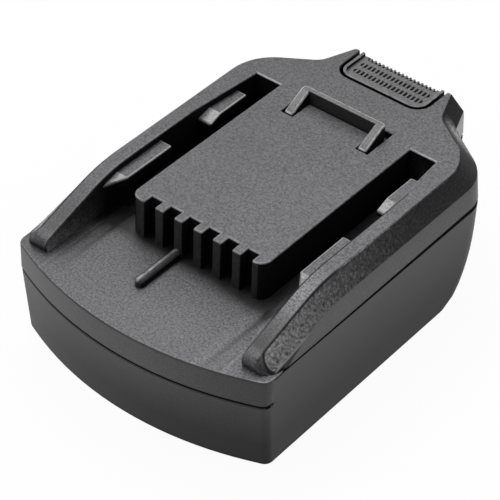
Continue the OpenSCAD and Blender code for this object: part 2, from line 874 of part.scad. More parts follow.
// Hollow under the button, open at its front for the latch's arm
module button_hollow() {
    intersection() {
        linear_extrude(plate_top)
            button_plan(button_gap + button_wall);
        box([-far, -far, 0], [far, button_in, far]);
    }
    box([-arm_half - fit, plate_rear, 0], [arm_half + fit, button_in - button_wall, plate_top]);
}

module release_button() {
    pad_z = top_z - pad_d;
    color("#606063")
        difference() {
            union() {
                difference() {
                    intersection() {
                        crown();
                        translate([0, 0, top_z - button_h])
                            linear_extrude(far)
                                button_plan(button_gap);
                    }
                    translate([0, 0, pad_z])
                        linear_extrude(far)
                            button_plan(button_gap + rim_w);
                    button_hollow();
                }
                at_pegs()
                    translate([0, 0, foot_z - button_wall])
                        cylinder(d = peg_d, h = plate_top - foot_z + button_wall + lap);
            }
            for (i = [0:groove_n - 1])
                translate([0, neck_top_y - groove_back - i*groove_pitch, pad_z])
                    groove();
        }
}

// A groove with round ends, cut half its width deep
module groove() {
    l = groove_l - groove_w;
    translate([-l/2, 0, 0])
        rotate([0, 90, 0])
            cylinder(d = groove_w, h = l);
    for (x = [-l/2, l/2])
        translate([x, 0, 0])
            sphere(d = groove_w);
}

// Return springs: one unbroken wire each, flat on the keeper and under the carrier
spring_rings = 16;
spring_sides = 6;
spring_r = (spring_d - spring_wire)/2;
spring_low = keeper_z + keeper_t + spring_wire/2;
spring_high = foot_z - spring_wire/2;
spring_gap = (spring_high - spring_low)/spring_turns - spring_wire;
echo(spring_gap = spring_gap);
function coil_point(t) =
    [spring_r*cos(360*t), spring_r*sin(360*t), spring_low + (spring_high - spring_low)*t/spring_turns];
coil_points = [for (k = [0:spring_turns*spring_rings]) coil_point(k/spring_rings)];
module spring() {
    loft([for (k = [0:len(coil_points) - 1])
        tube_ring(coil_points[k], way(coil_points, k), unit([coil_points[k][0], coil_points[k][1], 0]),
            spring_wire/2, spring_sides)]);
}

module latch_spring_left() {
    color("#c9ccd0")
        translate([-spring_x, spring_y, 0])
            spring();
}

module latch_spring_right() {
    color("#c9ccd0")
        translate([spring_x, spring_y, 0])
            spring();
}

keeper_half = keeper_x + keeper_boss_r;
keeper_l = 7.4;
stub_h = 2;
module latch_keeper() {
    stub_d = spring_d - 2*spring_wire - 4*fit;
    color("#3c3c3e")
        difference() {
            union() {
                box([-keeper_half, keeper_y - keeper_l/2, keeper_z],
                    [keeper_half, keeper_y + keeper_l/2, keeper_z + keeper_t]);
                for (x = [-spring_x, spring_x])
                    translate([x, spring_y, keeper_z])
                        cylinder(d = stub_d, h = keeper_t + stub_h);
            }
            at_keeper_screws()
                translate([0, 0, -past])
                    cylinder(d = small_d + 2*fit, h = keeper_t + 2*past);
        }
}

module keeper_screws() {
    color("#b4b7bb")
        at_keeper_screws()
            screw(small_d, small_head, keeper_t + keeper_pilot - tip_gap);
}

// Contacts behind the slots

carrier_y = behind(comb_d + fit);
carrier_l = 12;
carrier_base = 1.5;
clip_l = 9.6;
clip_z = board_top + 2*carrier_base;
pin_w = 0.8;
clip_half = 1.35;
clip_pinch = 0.3;
clip_mouth = 0.85;
clip_waist = 0.3;
clip_bend = 0.75;
clip_y = carrier_y + 2*leaf_t;
clip_back = clip_y + clip_l;
module contact_carrier() {
    half = cavity_half - fit;
    color("#2c2c2e")
        difference() {
            box([-half, carrier_y, board_top], [half, carrier_y + carrier_l, under_top - fit]);
            for (i = [0:slot_n - 1]) {
                box([slot_x(i) - slot_w/2, carrier_y - past, board_top + carrier_base],
                    [slot_x(i) + slot_w/2, clip_back + fit, far]);
                box([slot_x(i) - pin_w, clip_back - 3*pin_w, board_top - past],
                    [slot_x(i) + pin_w, clip_back + fit, board_top + carrier_base + past]);
            }
        }
}

// A clip seen from above: two leaves that pinch a blade between them, joined at the back
module clip(i) {
    waist = clip_y + clip_l*clip_waist;
    bend = clip_y + clip_l*clip_bend;
    translate([slot_x(i), 0, 0]) {
        translate([0, 0, clip_z])
            linear_extrude(clip_h)
                union() {
                    for (s = [-1, 1])
                        polygon([[s*clip_mouth, clip_y], [s*(clip_mouth + leaf_t), clip_y],
                            [s*(clip_pinch + leaf_t), waist], [s*clip_half, bend], [s*clip_half, clip_back],
                            [s*(clip_half - leaf_t), clip_back], [s*(clip_half - leaf_t), bend],
                            [s*clip_pinch, waist]]);
                    translate([-clip_half, clip_back - leaf_t])
                        square([2*clip_half, leaf_t]);
                }
        box([-pin_w/2, clip_back - leaf_t, board_top], [pin_w/2, clip_back, clip_z + lap]);
    }
}

mid_slot = floor(slot_n/2);
module clip_positive() {
    color("#c8a24a") clip(0);
}
module clip_negative() {
    color("#c8a24a") clip(slot_n - 1);
}
module clip_signal_left() {
    color("#c8a24a") clip(mid_slot - 1);
}
module clip_signal_right() {
    color("#c8a24a") clip(mid_slot);
}

// Circuit board and what is soldered to it

module circuit_board() {
    color("#2f6b3c")
        difference() {
            box([-board_w/2, board_y, board_z], [board_w/2, board_y + board_l, board_top]);
            at_posts()
                translate([0, 0, board_z - past])
                    cylinder(d = small_d + 2*fit, h = board_t + 2*past);
        }
}

module board_screws() {
    color("#b4b7bb")
        at_posts()
            translate([0, 0, board_top])
                mirror([0, 0, 1])
                    screw(small_d, small_head, board_t + post_h);
}

// Each component stands on the board at its own place, measured behind the face of the block
module on_board(at) {
    translate([at[0], behind(at[1]), board_top])
        children();
}

fuse_size = [7, 2.6, 2.6];
fuse_cap = 1.4;
fuse_at = [-9, 22];
module fuse() {
    color("#d8d4c8")
        on_board(fuse_at) {
            translate([0, 0, fuse_size[2]/2])
                cube(fuse_size - 2*[fuse_cap, fit, fit], center = true);
            for (s = [-1, 1])
                translate([s*(fuse_size[0] - fuse_cap)/2, 0, fuse_size[2]/2])
                    cube([fuse_cap, fuse_size[1], fuse_size[2]], center = true);
        }
}

can_d = 6.3;
can_h = 7.6;
can_base = 1;
can_at = [9, 24];
module capacitor() {
    color("#a9adb3")
        on_board(can_at) {
            translate([0, 0, can_base/2])
                cube([can_d + 2*fit, can_d + 2*fit, can_base], center = true);
            cylinder(d = can_d, h = can_h);
        }
}

pack_size = [6.6, 6.1, 2.3];
tab_size = [5.2, 2.6, 0.6];
foot_size = [0.8, 2.6, 0.6];
pack_at = [-9, 31];
module power_transistor() {
    color("#252527")
        on_board(pack_at) {
            translate([-pack_size[0]/2, -pack_size[1]/2, 0])
                cube(pack_size);
            translate([-tab_size[0]/2, pack_size[1]/2 - lap, 0])
                cube(tab_size + [0, lap, 0]);
            for (s = [-1, 1])
                translate([s*pack_size[0]/3 - foot_size[0]/2, -pack_size[1]/2 - foot_size[1], 0])
                    cube(foot_size + [0, lap, 0]);
        }
}

chip_size = [5, 4, 1.5];
chip_pins = 4;
chip_pitch = 1.27;
chip_foot = [0.45, 0.4];
chip_reach = 3;
chip_at = [8, 33];
module controller_chip() {
    color("#1f1f21")
        on_board(chip_at) {
            translate([-chip_size[0]/2, -chip_size[1]/2, 0])
                cube(chip_size);
            for (i = [0:chip_pins - 1], s = [-1, 1])
                translate([(i - (chip_pins - 1)/2)*chip_pitch - chip_foot[0]/2, s > 0 ? 0 : -chip_reach, 0])
                    cube([chip_foot[0], chip_reach, chip_foot[1]]);
        }
}

resistor_size = [2, 1.2, 0.6];
resistor_n = 5;
resistor_pitch = 2.6;
resistor_at = [0, 21];
module chip_resistors() {
    color("#2a2a2c")
        for (i = [0:resistor_n - 1])
            on_board(resistor_at + [0, i*resistor_pitch])
                translate([-resistor_size[0]/2, -resistor_size[1]/2, 0])
                    cube(resistor_size);
}

// Battery side: blades in their insulator at the front of the bay

blade_z = (lip_h + bay_h)/2;
collar_t = 1.6;
collar_lap = 1.2;
tail_l = 2.6;
signal_short = 2;
tail_y = bay_y - wall - collar_t - tail_l;
module blade_hole(x) {
    box([x - blade_t/2 - fit, tail_y, blade_z - blade_h/2 - fit],
        [x + blade_t/2 + fit, far, blade_z + blade_h/2 + fit]);
}

module terminal_block() {
    color("#2c2c2e")
        difference() {
            union() {
                window(fit);
                box([-window_half - collar_lap, bay_y - wall - collar_t, lip_h + window_lip - collar_lap],
                    [window_half + collar_lap, bay_y - wall, bay_h - window_lip + collar_lap]);
            }
            for (x = [-blade_x, 0, blade_x])
                blade_hole(x);
        }
}

module blade(x, l) {
    box([x - blade_t/2, tail_y, blade_z - blade_h/2], [x + blade_t/2, bay_y + l, blade_z + blade_h/2]);
}
module blade_positive() {
    color("#c8a24a") blade(-blade_x, blade_l);
}
module blade_negative() {
    color("#c8a24a") blade(blade_x, blade_l);
}
module blade_signal() {
    color("#c8a24a") blade(0, blade_l - signal_short);
}

// Leads from the blades' tails up and back to the board
function lead_route(x) = [
    [x, tail_y, blade_z], [x, tail_y - 1.5, blade_z], [x, tail_y - 3, blade_z + 0.5],
    [x, tail_y - 4, blade_z + 2], [x, tail_y - 4.2, blade_z + 4], [x, tail_y - 4, board_z - 0.5],
    [x, tail_y - 3, board_top], [x, tail_y - 1, board_top + 1.6], [x, board_y - 3, board_top + 2],
    [x, board_y - 0.5, board_top + 2], [x, board_y + 1.2, board_top + 1.6],
    [x, board_y + 2, board_top + 0.8], [x, board_y + 2.2, board_top]];
module lead(x, d) {
    ps = lead_route(x);
    end = len(ps) - 1;
    loft([for (k = [0:end])
        let (dir = k == 0 ? [0, -1, 0] : k == end ? [0, 0, -1] : way(ps, k))
        tube_ring(ps[k], dir, [1, 0, 0], d/2, tube_sides)]);
}
module lead_positive() {
    color("#b3261e") lead(-blade_x, lead_d);
}
module lead_negative() {
    color("#1d1d1f") lead(blade_x, lead_d);
}
module lead_signal() {
    color("#d8b62c") lead(0, signal_d);
}

module housing_screws() {
    color("#b4b7bb")
        at_screws()
            translate([0, 0, seat_z])
                screw(screw_d, screw_head, pilot_top - seat_z - tip_gap);
}

upper_shell();
lower_shell();
release_button();
latch_hook();
latch_spring_left();
latch_spring_right();
latch_keeper();
keeper_screws();
contact_carrier();
clip_positive();
clip_negative();
clip_signal_left();
clip_signal_right();
circuit_board();
board_screws();
fuse();
capacitor();
power_transistor();
controller_chip();
chip_resistors();
terminal_block();
blade_positive();
blade_negative();
blade_signal();
lead_positive();
lead_negative();
lead_signal();
housing_screws();
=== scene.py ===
"""Looks of the tool battery adapter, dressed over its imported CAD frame."""

import json
import logging
import math
from dataclasses import dataclass, field
from enum import Enum
from typing import Callable

import bmesh
import bpy
from mathutils import Matrix, Vector


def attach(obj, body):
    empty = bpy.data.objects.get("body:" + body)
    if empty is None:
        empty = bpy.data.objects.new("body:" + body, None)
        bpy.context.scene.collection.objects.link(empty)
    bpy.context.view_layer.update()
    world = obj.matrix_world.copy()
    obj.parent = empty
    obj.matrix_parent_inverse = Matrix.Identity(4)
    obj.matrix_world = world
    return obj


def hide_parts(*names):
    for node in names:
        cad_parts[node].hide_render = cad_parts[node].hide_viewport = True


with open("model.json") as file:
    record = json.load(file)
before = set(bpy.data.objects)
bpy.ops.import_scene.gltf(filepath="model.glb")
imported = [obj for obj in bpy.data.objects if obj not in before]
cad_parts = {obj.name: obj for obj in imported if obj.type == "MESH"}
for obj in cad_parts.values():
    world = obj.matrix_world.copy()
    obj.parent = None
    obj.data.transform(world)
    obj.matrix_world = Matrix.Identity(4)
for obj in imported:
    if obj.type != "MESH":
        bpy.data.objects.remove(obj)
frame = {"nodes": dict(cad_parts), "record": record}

log = logging.getLogger("adapter")
MM = 0.001
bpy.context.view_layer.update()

Colour = tuple[float, float, float]
Triple = tuple[float, float, float]
Span = tuple[float, float]
# Near-black painted shade, for creases, grooves and the seams.
PAINTED_SHADE: Colour = (0.004, 0.004, 0.004)
WHITE = (1.0, 1.0, 1.0, 1.0)
DECK_Z = 28.0
COMB_Y = -27.75
RAIL_IN = 29.75
PLANE_MM = 0.06
CLOUD_MM = 15.0
# Patches that break up the rubbing wear and painted highlight on rounded edges.
EDGE_PATCH_MM = 1.4
EDGE_PATCH_CUT: Span = (0.25, 0.6)
# How dark the painted shade along the band's crease is.
CREASE_DARK = 0.92


class Wire:
    """A shader value that can be used in arithmetic: each operation adds a Math node."""

    def __init__(self, sheet: "Sheet", socket: bpy.types.NodeSocket) -> None:
        """Keeps the sheet that the socket is on.

        Args:
            sheet: the node sheet.
            socket: the output socket.
        """
        self.sheet = sheet
        self.socket = socket

    def _math(self, operation: str, *values: "Wire | float", clamp: bool = False) -> "Wire":
        """Adds a Math node.

        Args:
            operation: the node's operation.
            values: its inputs, in order.
            clamp: whether the result is kept from 0 to 1.

        Returns:
            The result.
        """
        settings = {"operation": operation, "use_clamp": clamp}
        return self.sheet.node("ShaderNodeMath", settings, dict(enumerate(values)))

    def __add__(self, other: "Wire | float") -> "Wire":
        """The sum."""
        return self._math("ADD", self, other)

    def __radd__(self, other: float) -> "Wire":
        """The sum, with the number first."""
        return self._math("ADD", other, self)

    def __sub__(self, other: "Wire | float") -> "Wire":
        """The difference."""
        return self._math("SUBTRACT", self, other)

    def __rsub__(self, other: float) -> "Wire":
        """The difference, with the number first."""
        return self._math("SUBTRACT", other, self)

    def __mul__(self, other: "Wire | float") -> "Wire":
        """The product."""
        return self._math("MULTIPLY", self, other)

    def __rmul__(self, other: float) -> "Wire":
        """The product, with the number first."""
        return self._math("MULTIPLY", other, self)

    def most(self, other: "Wire | float") -> "Wire":
        """The larger of two."""
        return self._math("MAXIMUM", self, other)

    def least(self, other: "Wire | float") -> "Wire":
        """The smaller of two."""
        return self._math("MINIMUM", self, other)

    def absolute(self) -> "Wire":
        """The size without its sign."""
        return self._math("ABSOLUTE", self)

    def root(self) -> "Wire":
        """The square root."""
        return self._math("SQRT", self)

    def rising(self, low: float, high: float) -> "Wire":
        """A mask that goes from 0 at low to 1 at high.

        Args:
            low: where it starts.
            high: where it ends, which may be below low.

        Returns:
            The mask.
        """
        return self._math("DIVIDE", self - low, high - low, clamp=True)


class Sheet:
    """The nodes of a material or a world."""

    def __init__(self, tree: bpy.types.NodeTree) -> None:
        """Empties the tree.

        Args:
            tree: the node tree.
        """
        self.tree = tree
        tree.nodes.clear()

    def node(
        self,
        kind: str,
        settings: dict | None = None,
        sockets: dict | None = None,
        output: int | str = 0,
    ) -> Wire:
        """Adds a node.

        Args:
            kind: the node's type.
            settings: its properties.
            sockets: values or wires of its inputs, by name or number.
            output: which output is wanted.

        Returns:
            That output, or the node's first input if it has no output.
        """
        made = self.tree.nodes.new(kind)
        for name, value in (settings or {}).items():
            setattr(made, name, value)
        for key, value in (sockets or {}).items():
            if isinstance(value, Wire):
                self.tree.links.new(value.socket, made.inputs[key])
            else:
                made.inputs[key].default_value = value
        return Wire(self, made.outputs[output] if made.outputs else made.inputs[0])

    def place(self) -> Wire:
        """The object's own coordinates, in metres."""
        return self.node("ShaderNodeTexCoord", output="Object")

    def split(self, vector: Wire) -> tuple[Wire, Wire, Wire]:
        """The three parts of a vector."""
        made = self.node("ShaderNodeSeparateXYZ", sockets={0: vector}).socket.node
        return tuple(Wire(self, made.outputs[i]) for i in range(3))

    def axes(self) -> tuple[Wire, Wire, Wire]:
        """The three object coordinates, in mm."""
        return self.split(self.scale(self.place(), 1 / MM))

    def facing(self) -> tuple[Wire, Wire, Wire]:
        """The three parts of the object's own normal."""
        return self.split(self.node("ShaderNodeTexCoord", output="Normal"))

    def attribute(self, name: str) -> Wire:
        """A value that the mesh carries."""
        return self.node("ShaderNodeAttribute", {"attribute_name": name}, output="Fac")

    def scale(self, colour: Wire | Colour, factor: Wire | float) -> Wire:
        """A colour or a vector times a number.

        Args:
            colour: the colour or vector.
            factor: the number.

        Returns:
            The product.
        """
        return self.node("ShaderNodeVectorMath", {"operation": "SCALE"}, {0: colour, "Scale": factor})

    def noise(self, size_mm: float, detail: float = 2.0, rough: float = 0.55, warp: float = 0.0) -> Wire:
        """Noise of about a given size.

        Args:
            size_mm: the size of its spots.
            detail: its octaves.
            rough: how strong the finer octaves are.
            warp: its distortion.

        Returns:
            A value around 0.5.
        """
        return self.node(
            "ShaderNodeTexNoise",
            {"noise_dimensions": "3D"},
            {"Vector": self.place(), "Scale": 1 / (size_mm * MM), "Detail": detail,
             "Roughness": rough, "Distortion": warp},
            "Fac",
        )

    def blend(self, share: Wire | float, first: Wire | Colour, second: Wire | Colour) -> Wire:
        """A mix of two colours.

        Args:
            share: how much of the second.
            first: the first colour.
            second: the second colour.

        Returns:
            The mixed colour.
        """
        pair = [c if isinstance(c, Wire) else (*c, 1.0) for c in (first, second)]
        return self.node(
            "ShaderNodeMix", {"data_type": "RGBA"}, {0: share, 6: pair[0], 7: pair[1]}, 2
        )

    def bump(self, height: Wire, depth_mm: float, strength: float) -> Wire:
        """A normal that follows a height.

        Args:
            height: the height, from 0 to 1.
            depth_mm: the depth that 1 stands for.
            strength: the bump's strength.

        Returns:
            The normal.
        """
        return self.node(
            "ShaderNodeBump",
            sockets={"Strength": strength, "Distance": depth_mm * MM, "Height": height},
        )


def new_material(name: str) -> tuple[bpy.types.Material, Sheet]:
    """Makes an empty node material.

    Args:
        name: its name.

    Returns:
        The material and its sheet.
    """
    material = bpy.data.materials.new(name)
    material.use_nodes = True
    return material, Sheet(material.node_tree)


def surface(sheet: Sheet, sockets: dict) -> None:
    """Puts a Principled surface on a sheet.

    Args:
        sheet: the sheet.
        sockets: the shader's inputs.
    """
    shader = sheet.node("ShaderNodeBsdfPrincipled", sockets=sockets)
    sheet.node("ShaderNodeOutputMaterial", sockets={"Surface": shader})


@dataclass(frozen=True)
class Moulding:
    """Moulded plastic: its grain, how it varies, and the rubbing wear and painted highlight on its edges.
    """

    name: str
    colour: Colour
    rubbed_and_highlit: Colour
    roughness: float
    grain_mm: float = 0.5
    contrast: float = 1.0
    depth_mm: float = 0.04
    strength: float = 0.5
    specular: float = 0.5
    cloud: float = 0.35
    darkest: float = 0.1
    uneven: float = 0.25
    polish: float = 0.08

    def marked(self, sheet: Sheet, colour: Wire) -> Wire:
        """The colour with this finish's own marks; a plain moulding has none."""
        return colour

    def build(self) -> bpy.types.Material:
        """Makes the material.

        Returns:
            The material.
        """
        material, sheet = new_material(self.name)
        grain = sheet.noise(self.grain_mm, 2.0, 0.6)
        cloud = sheet.noise(CLOUD_MM, 3.0)
        # Upward rounded edges get rubbing wear and a painted highlight in one lighter colour.
        wear_and_highlight = sheet.attribute("edge") * sheet.noise(EDGE_PATCH_MM, 3.0).rising(*EDGE_PATCH_CUT)
        shade = (1 + (grain - 0.5) * self.contrast + (cloud - 0.5) * self.cloud).most(self.darkest)
        rubbed_and_highlit = sheet.blend(wear_and_highlight, sheet.scale(self.colour, shade), self.rubbed_and_highlit)
        surface(sheet, {
            "Base Color": self.marked(sheet, rubbed_and_highlit),
            "Roughness": self.roughness + (grain - 0.5) * self.uneven - wear_and_highlight * self.polish,
            "Specular IOR Level": self.specular,
            "Normal": sheet.bump(grain, self.depth_mm, self.strength),
        })
        return material


@dataclass(frozen=True)
class Tongue:
    """Plan of the band on each flank, which ends round at the nose, and of the painted shade and highlight
    lines along its edges; sizes in mm.
    """

    middle_x: float = 35.45
    front_y: float = -43.5
    radius: float = 1.9
    line_in: float = 0.06
    line_half: Span = (0.39, 0.156)
    line_y: Span = (-6.0, -20.0)
    upper_w: float = 0.8
    end_y: Span = (-43.7, -44.4)
    end_in: Span = (0.05, -0.1)
    nose_y: Span = (-41.0, -42.0)
    foot_x: float = 37.2
    foot_y: Span = (-22.0, -30.0)
    foot_half: Span = (0.22, 0.06)
    below_w: Span = (0.0, 0.15)

    def inside(self, sheet: Sheet) -> Wire:
        """The distance in from the band's edge, in mm.

        Args:
            sheet: the sheet to work on.

        Returns:
            The distance, below 0 outside the band.
        """
        x, y, _ = sheet.axes()
        across = x.absolute() - self.middle_x
        ahead = (y - self.front_y).least(0.0)
        return self.radius - (across * across + ahead * ahead).root()

    def ended(self, sheet: Sheet) -> Wire:
        """A mask of the nose's face, past the band's round end."""
        past = self.inside(sheet).rising(*self.end_in)
        return past * sheet.axes()[1].rising(*self.nose_y)

    def crease(self, sheet: Sheet) -> Wire:
        """The painted shade line along the band's upper edge and round its end.

        Args:
            sheet: the sheet to work on.

        Returns:
            A mask, which fades behind the ramp.
        """
        x, y, _ = sheet.axes()
        line = (self.inside(sheet) - self.line_in).absolute().rising(*self.line_half)
        upper = x.absolute().rising(self.middle_x + self.upper_w, self.middle_x)
        return line * upper.most(y.rising(*self.end_y)) * y.rising(*self.line_y) * CREASE_DARK

    def foot(self, sheet: Sheet) -> tuple[Wire, Wire]:
        """The front half of the band's lower edge.

        Args:
            sheet: the sheet to work on.

        Returns:
            Masks of the painted highlight line there and of the strip below it.
        """
        x, y, _ = sheet.axes()
        out = x.absolute() - self.foot_x
        front = y.rising(*self.foot_y)
        return out.absolute().rising(*self.foot_half) * front, out.rising(*self.below_w) * front


@dataclass(frozen=True)
class RailShade:
    """Painted light and shade along the tops of the rails; sizes in mm."""

    above_z: Span = (DECK_Z + 0.02, DECK_Z + 0.12)
    beside_x: Span = (RAIL_IN - 0.5, RAIL_IN - 0.3)
    side_x: Span = (-1.0, 1.0)
    left_y: Span = (-28.0, -39.0)
    left_dim: float = 0.35
    right_y: Span = (-33.0, -42.5)
    right_dim: float = 0.95
    nose_y: Span = (-45.5, -43.5)
    nose_dim: float = 0.35
    bend_y: Triple = (-35.0, -28.0, -18.0)
    bend_glow: float = 0.85
    foot_y: Span = (-45.0, -46.3)
    foot_z: Span = (32.0, 29.6)
    outer_x: Span = (32.0, 33.1)
    outer_y: Span = (-6.0, -20.0)
    outer_glow: float = 0.12

    def shade(self, sheet: Sheet) -> Wire:
        """The painted shade: a painted highlight at the right rail's bend, painted shade ahead of it, a
        painted shadow at the nose's foot and a painted highlight towards the outer edge.

        Args:
            sheet: the sheet to work on.

        Returns:
            A shade around 0: above it is darker.
        """
        x, y, z = sheet.axes()
        wide = x.absolute()
        right = x.rising(*self.side_x)
        front, middle, back = self.bend_y
        glow = y.rising(front, middle) * y.rising(back, middle) * right * self.bend_glow
        slope = y.rising(*self.right_y) * right * self.right_dim
        slope += y.rising(*self.left_y) * (1 - right) * self.left_dim
        nose = y.rising(*self.nose_y)
        dim = slope * nose.most(right * self.nose_dim) - glow
        foot = y.rising(*self.foot_y) * z.rising(*self.foot_z) - glow
        outer = wide.rising(*self.outer_x) * y.rising(*self.outer_y) * nose * self.outer_glow
        return (dim.most(foot) - outer) * z.rising(*self.above_z) * wide.rising(*self.beside_x)


@dataclass(frozen=True)
class FootShadeLines:
    """Painted shadow lines round the key rib's foot and on its right flank, and painted shade along the
    right rail's inner edge; sizes in mm.
    """

    rib_x: float = -5.4
    rib_half: float = 1.15
    rib_tip: float = -41.2
    low_z: Span = (DECK_Z + 0.7, DECK_Z + 0.3)
    foot_out: Span = (0.5, 0.1)
    foot_dark: float = 0.75
    side_out: Span = (1.6, 1.2)
    side_x: Span = (0.0, -0.5)
    side_y: Span = (-41.2, -40.4)
    crest_out: Span = (0.1, 0.0)
    crest_turn: Span = (0.0, 0.15)
    crest_dark: float = 0.6
    before_y: Span = (COMB_Y + 0.5, COMB_Y)
    edge_x: float = RAIL_IN + 0.2
    edge_half: Span = (0.3, 0.12)
    edge_z: Span = (DECK_Z + 0.1, DECK_Z + 0.4)
    edge_y: Span = (15.5, 15.2)
    edge_dark: float = 0.9

    def mask(self, sheet: Sheet) -> Wire:
        """A mask of the painted shadow and shade lines.

        Args:
            sheet: the sheet to work on.

        Returns:
            The mask.
        """
        x, y, z = sheet.axes()
        across = x - self.rib_x
        ahead = (y - self.rib_tip).least(0.0)
        out = (across * across + ahead * ahead).root() - self.rib_half
        low = z.rising(*self.low_z)
        side = out.rising(*self.side_out) * across.rising(*self.side_x) * y.rising(*self.side_y)
        foot = out.rising(*self.foot_out).most(side) * low * self.foot_dark
        turned = sheet.facing()[0].rising(*self.crest_turn)
        crest = out.rising(*self.crest_out) * turned * (1 - low) * self.crest_dark
        edge = (x - self.edge_x).absolute().rising(*self.edge_half) * z.rising(*self.edge_z)
        beside = y.rising(*self.edge_y) * self.edge_dark
        return ((foot + crest) * y.rising(*self.before_y)).most(edge * beside)


@dataclass(frozen=True)
class Streak:
    """A line of painted shade along the deck, a painted highlight where its darkness is below 0; sizes in
    mm.
    """

    x: float
    half: Span
    dark: float
    slant: float = 0.0
    from_y: float = 0.0

    def shade(self, x: Wire, y: Wire) -> Wire:
        """The line's shade at a place in mm."""
        off = x - self.x - (y - self.from_y) * self.slant
        return off.absolute().rising(*self.half) * self.dark


@dataclass(frozen=True)
class DeckShade:
    """Painted shade and highlight lines on the deck beside the rails, a painted shadow beside the left
    rail and a painted shadow at the comb's foot; sizes in mm.
    """

    deck_z: Span = (DECK_Z + 0.3, DECK_Z + 0.1)
    ahead_y: Span = (-28.0, -30.0)
    # Painted shade and highlight lines beside the rails, stronger on the right.
    track: Streak = Streak(23.8, (0.95, 0.3), 0.5)
    track_y: Span = (-52.0, -33.0)
    both: tuple[Streak, ...] = (
        Streak(26.8, (0.4, 0.1), 0.2),
        Streak(27.5, (0.35, 0.15), -0.3),
    )
    right: tuple[Streak, ...] = (
        Streak(23.4, (1.0, 0.4), 0.3),
        Streak(26.8, (0.5, 0.2), -0.4, slant=-0.16, from_y=-43.2),
        Streak(21.3, (2.2, 0.9), -0.22),
    )
    # Painted shadow of the left rail on the deck.
    left_x: Span = (-22.5, -27.5)
    left_y: Span = (-49.0, -41.0)
    left_dark: float = 0.45
    # Painted shadow at the comb's foot, deeper towards the right.
    comb_shadow_y: Span = (-33.5, -28.0)
    comb_shadow: float = 1.1
    corner_x: Span = (6.0, 20.0)
    corner_y: Span = (-33.5, -29.5)
    corner: float = 0.6
    blackest: float = 0.97

    def shade(self, sheet: Sheet) -> Wire:
        """The painted shade of the lines beside the rails and of the comb's foot.

        Args:
            sheet: the sheet to work on.

        Returns:
            A shade around 0: above it is darker.
        """
        x, y, z = sheet.axes()
        wide = x.absolute()
        shade_lines = self.track.shade(wide, y) * y.rising(*self.track_y)
        shade_lines += x.rising(*self.left_x) * y.rising(*self.left_y) * self.left_dark
        for streak in self.both:
            shade_lines += streak.shade(wide, y)
        for streak in self.right:
            shade_lines += streak.shade(x, y)
        near = y.rising(*self.comb_shadow_y)
        corner = x.rising(*self.corner_x) * y.rising(*self.corner_y) * self.corner
        comb_shadow = (near * near * self.comb_shadow + corner).least(self.blackest)
        return (shade_lines * y.rising(*self.ahead_y) + comb_shadow) * z.rising(*self.deck_z)


@dataclass(frozen=True)
class Top(Moulding):
    """The grained top, with its scratches and with painted light and shade: a slope of light, shade along
    the rails, shade and highlight lines on the deck and dark shade lines.
    """

    tongue: Tongue = Tongue()
    rails: RailShade = RailShade()
    lines: FootShadeLines = FootShadeLines()
    deck: DeckShade = DeckShade()
    light_slope: Span = (0.004, -0.003)
    scratch: float = 0.2
    scratch_turn: Triple = (0.0, 0.0, 0.7)
    scratch_scale: Triple = (40.0, 900.0, 40.0)
    scratch_cut: Span = (0.6, 0.75)
    patch_mm: float = 22.0
    patch_cut: Span = (0.5, 0.62)

    def scratches(self, sheet: Sheet) -> Wire:
        """A mask of fine slanted scratches, in patches.

        Args:
            sheet: the sheet to work on.

        Returns:
            The mask.
        """
        slant = sheet.node("ShaderNodeMapping", sockets={
            "Vector": sheet.place(), "Rotation": self.scratch_turn, "Scale": self.scratch_scale})
        fine = sheet.node("ShaderNodeTexNoise", sockets={"Vector": slant, "Scale": 1.0, "Detail": 2.0})
        patches = sheet.noise(self.patch_mm).rising(*self.patch_cut)
        return fine.rising(*self.scratch_cut) * patches * self.scratch

    def marked(self, sheet: Sheet, colour: Wire) -> Wire:
        """Adds the scratches, then the painted light and shade: the slope of light, the rails' shade, the
        deck's shade and highlight lines and the dark shade lines.

        Args:
            sheet: the sheet to work on.
            colour: the grained and worn colour.

        Returns:
            The marked colour.
        """
        x, y, _ = sheet.axes()
        light = sheet.blend(self.scratches(sheet), colour, self.rubbed_and_highlit)
        # Painted light: lighter towards the front and the right, less the painted shade of the rails and
        # the deck.
        light_slope = 1 + x * self.light_slope[0] + y * self.light_slope[1]
        shaded = sheet.scale(light, light_slope - self.rails.shade(sheet) - self.deck.shade(sheet))
        # Painted shade lines along the crease, round the key rib and on the right rail's inner edge.
        return sheet.blend(self.tongue.crease(sheet).most(self.lines.mask(sheet)), shaded, PAINTED_SHADE)


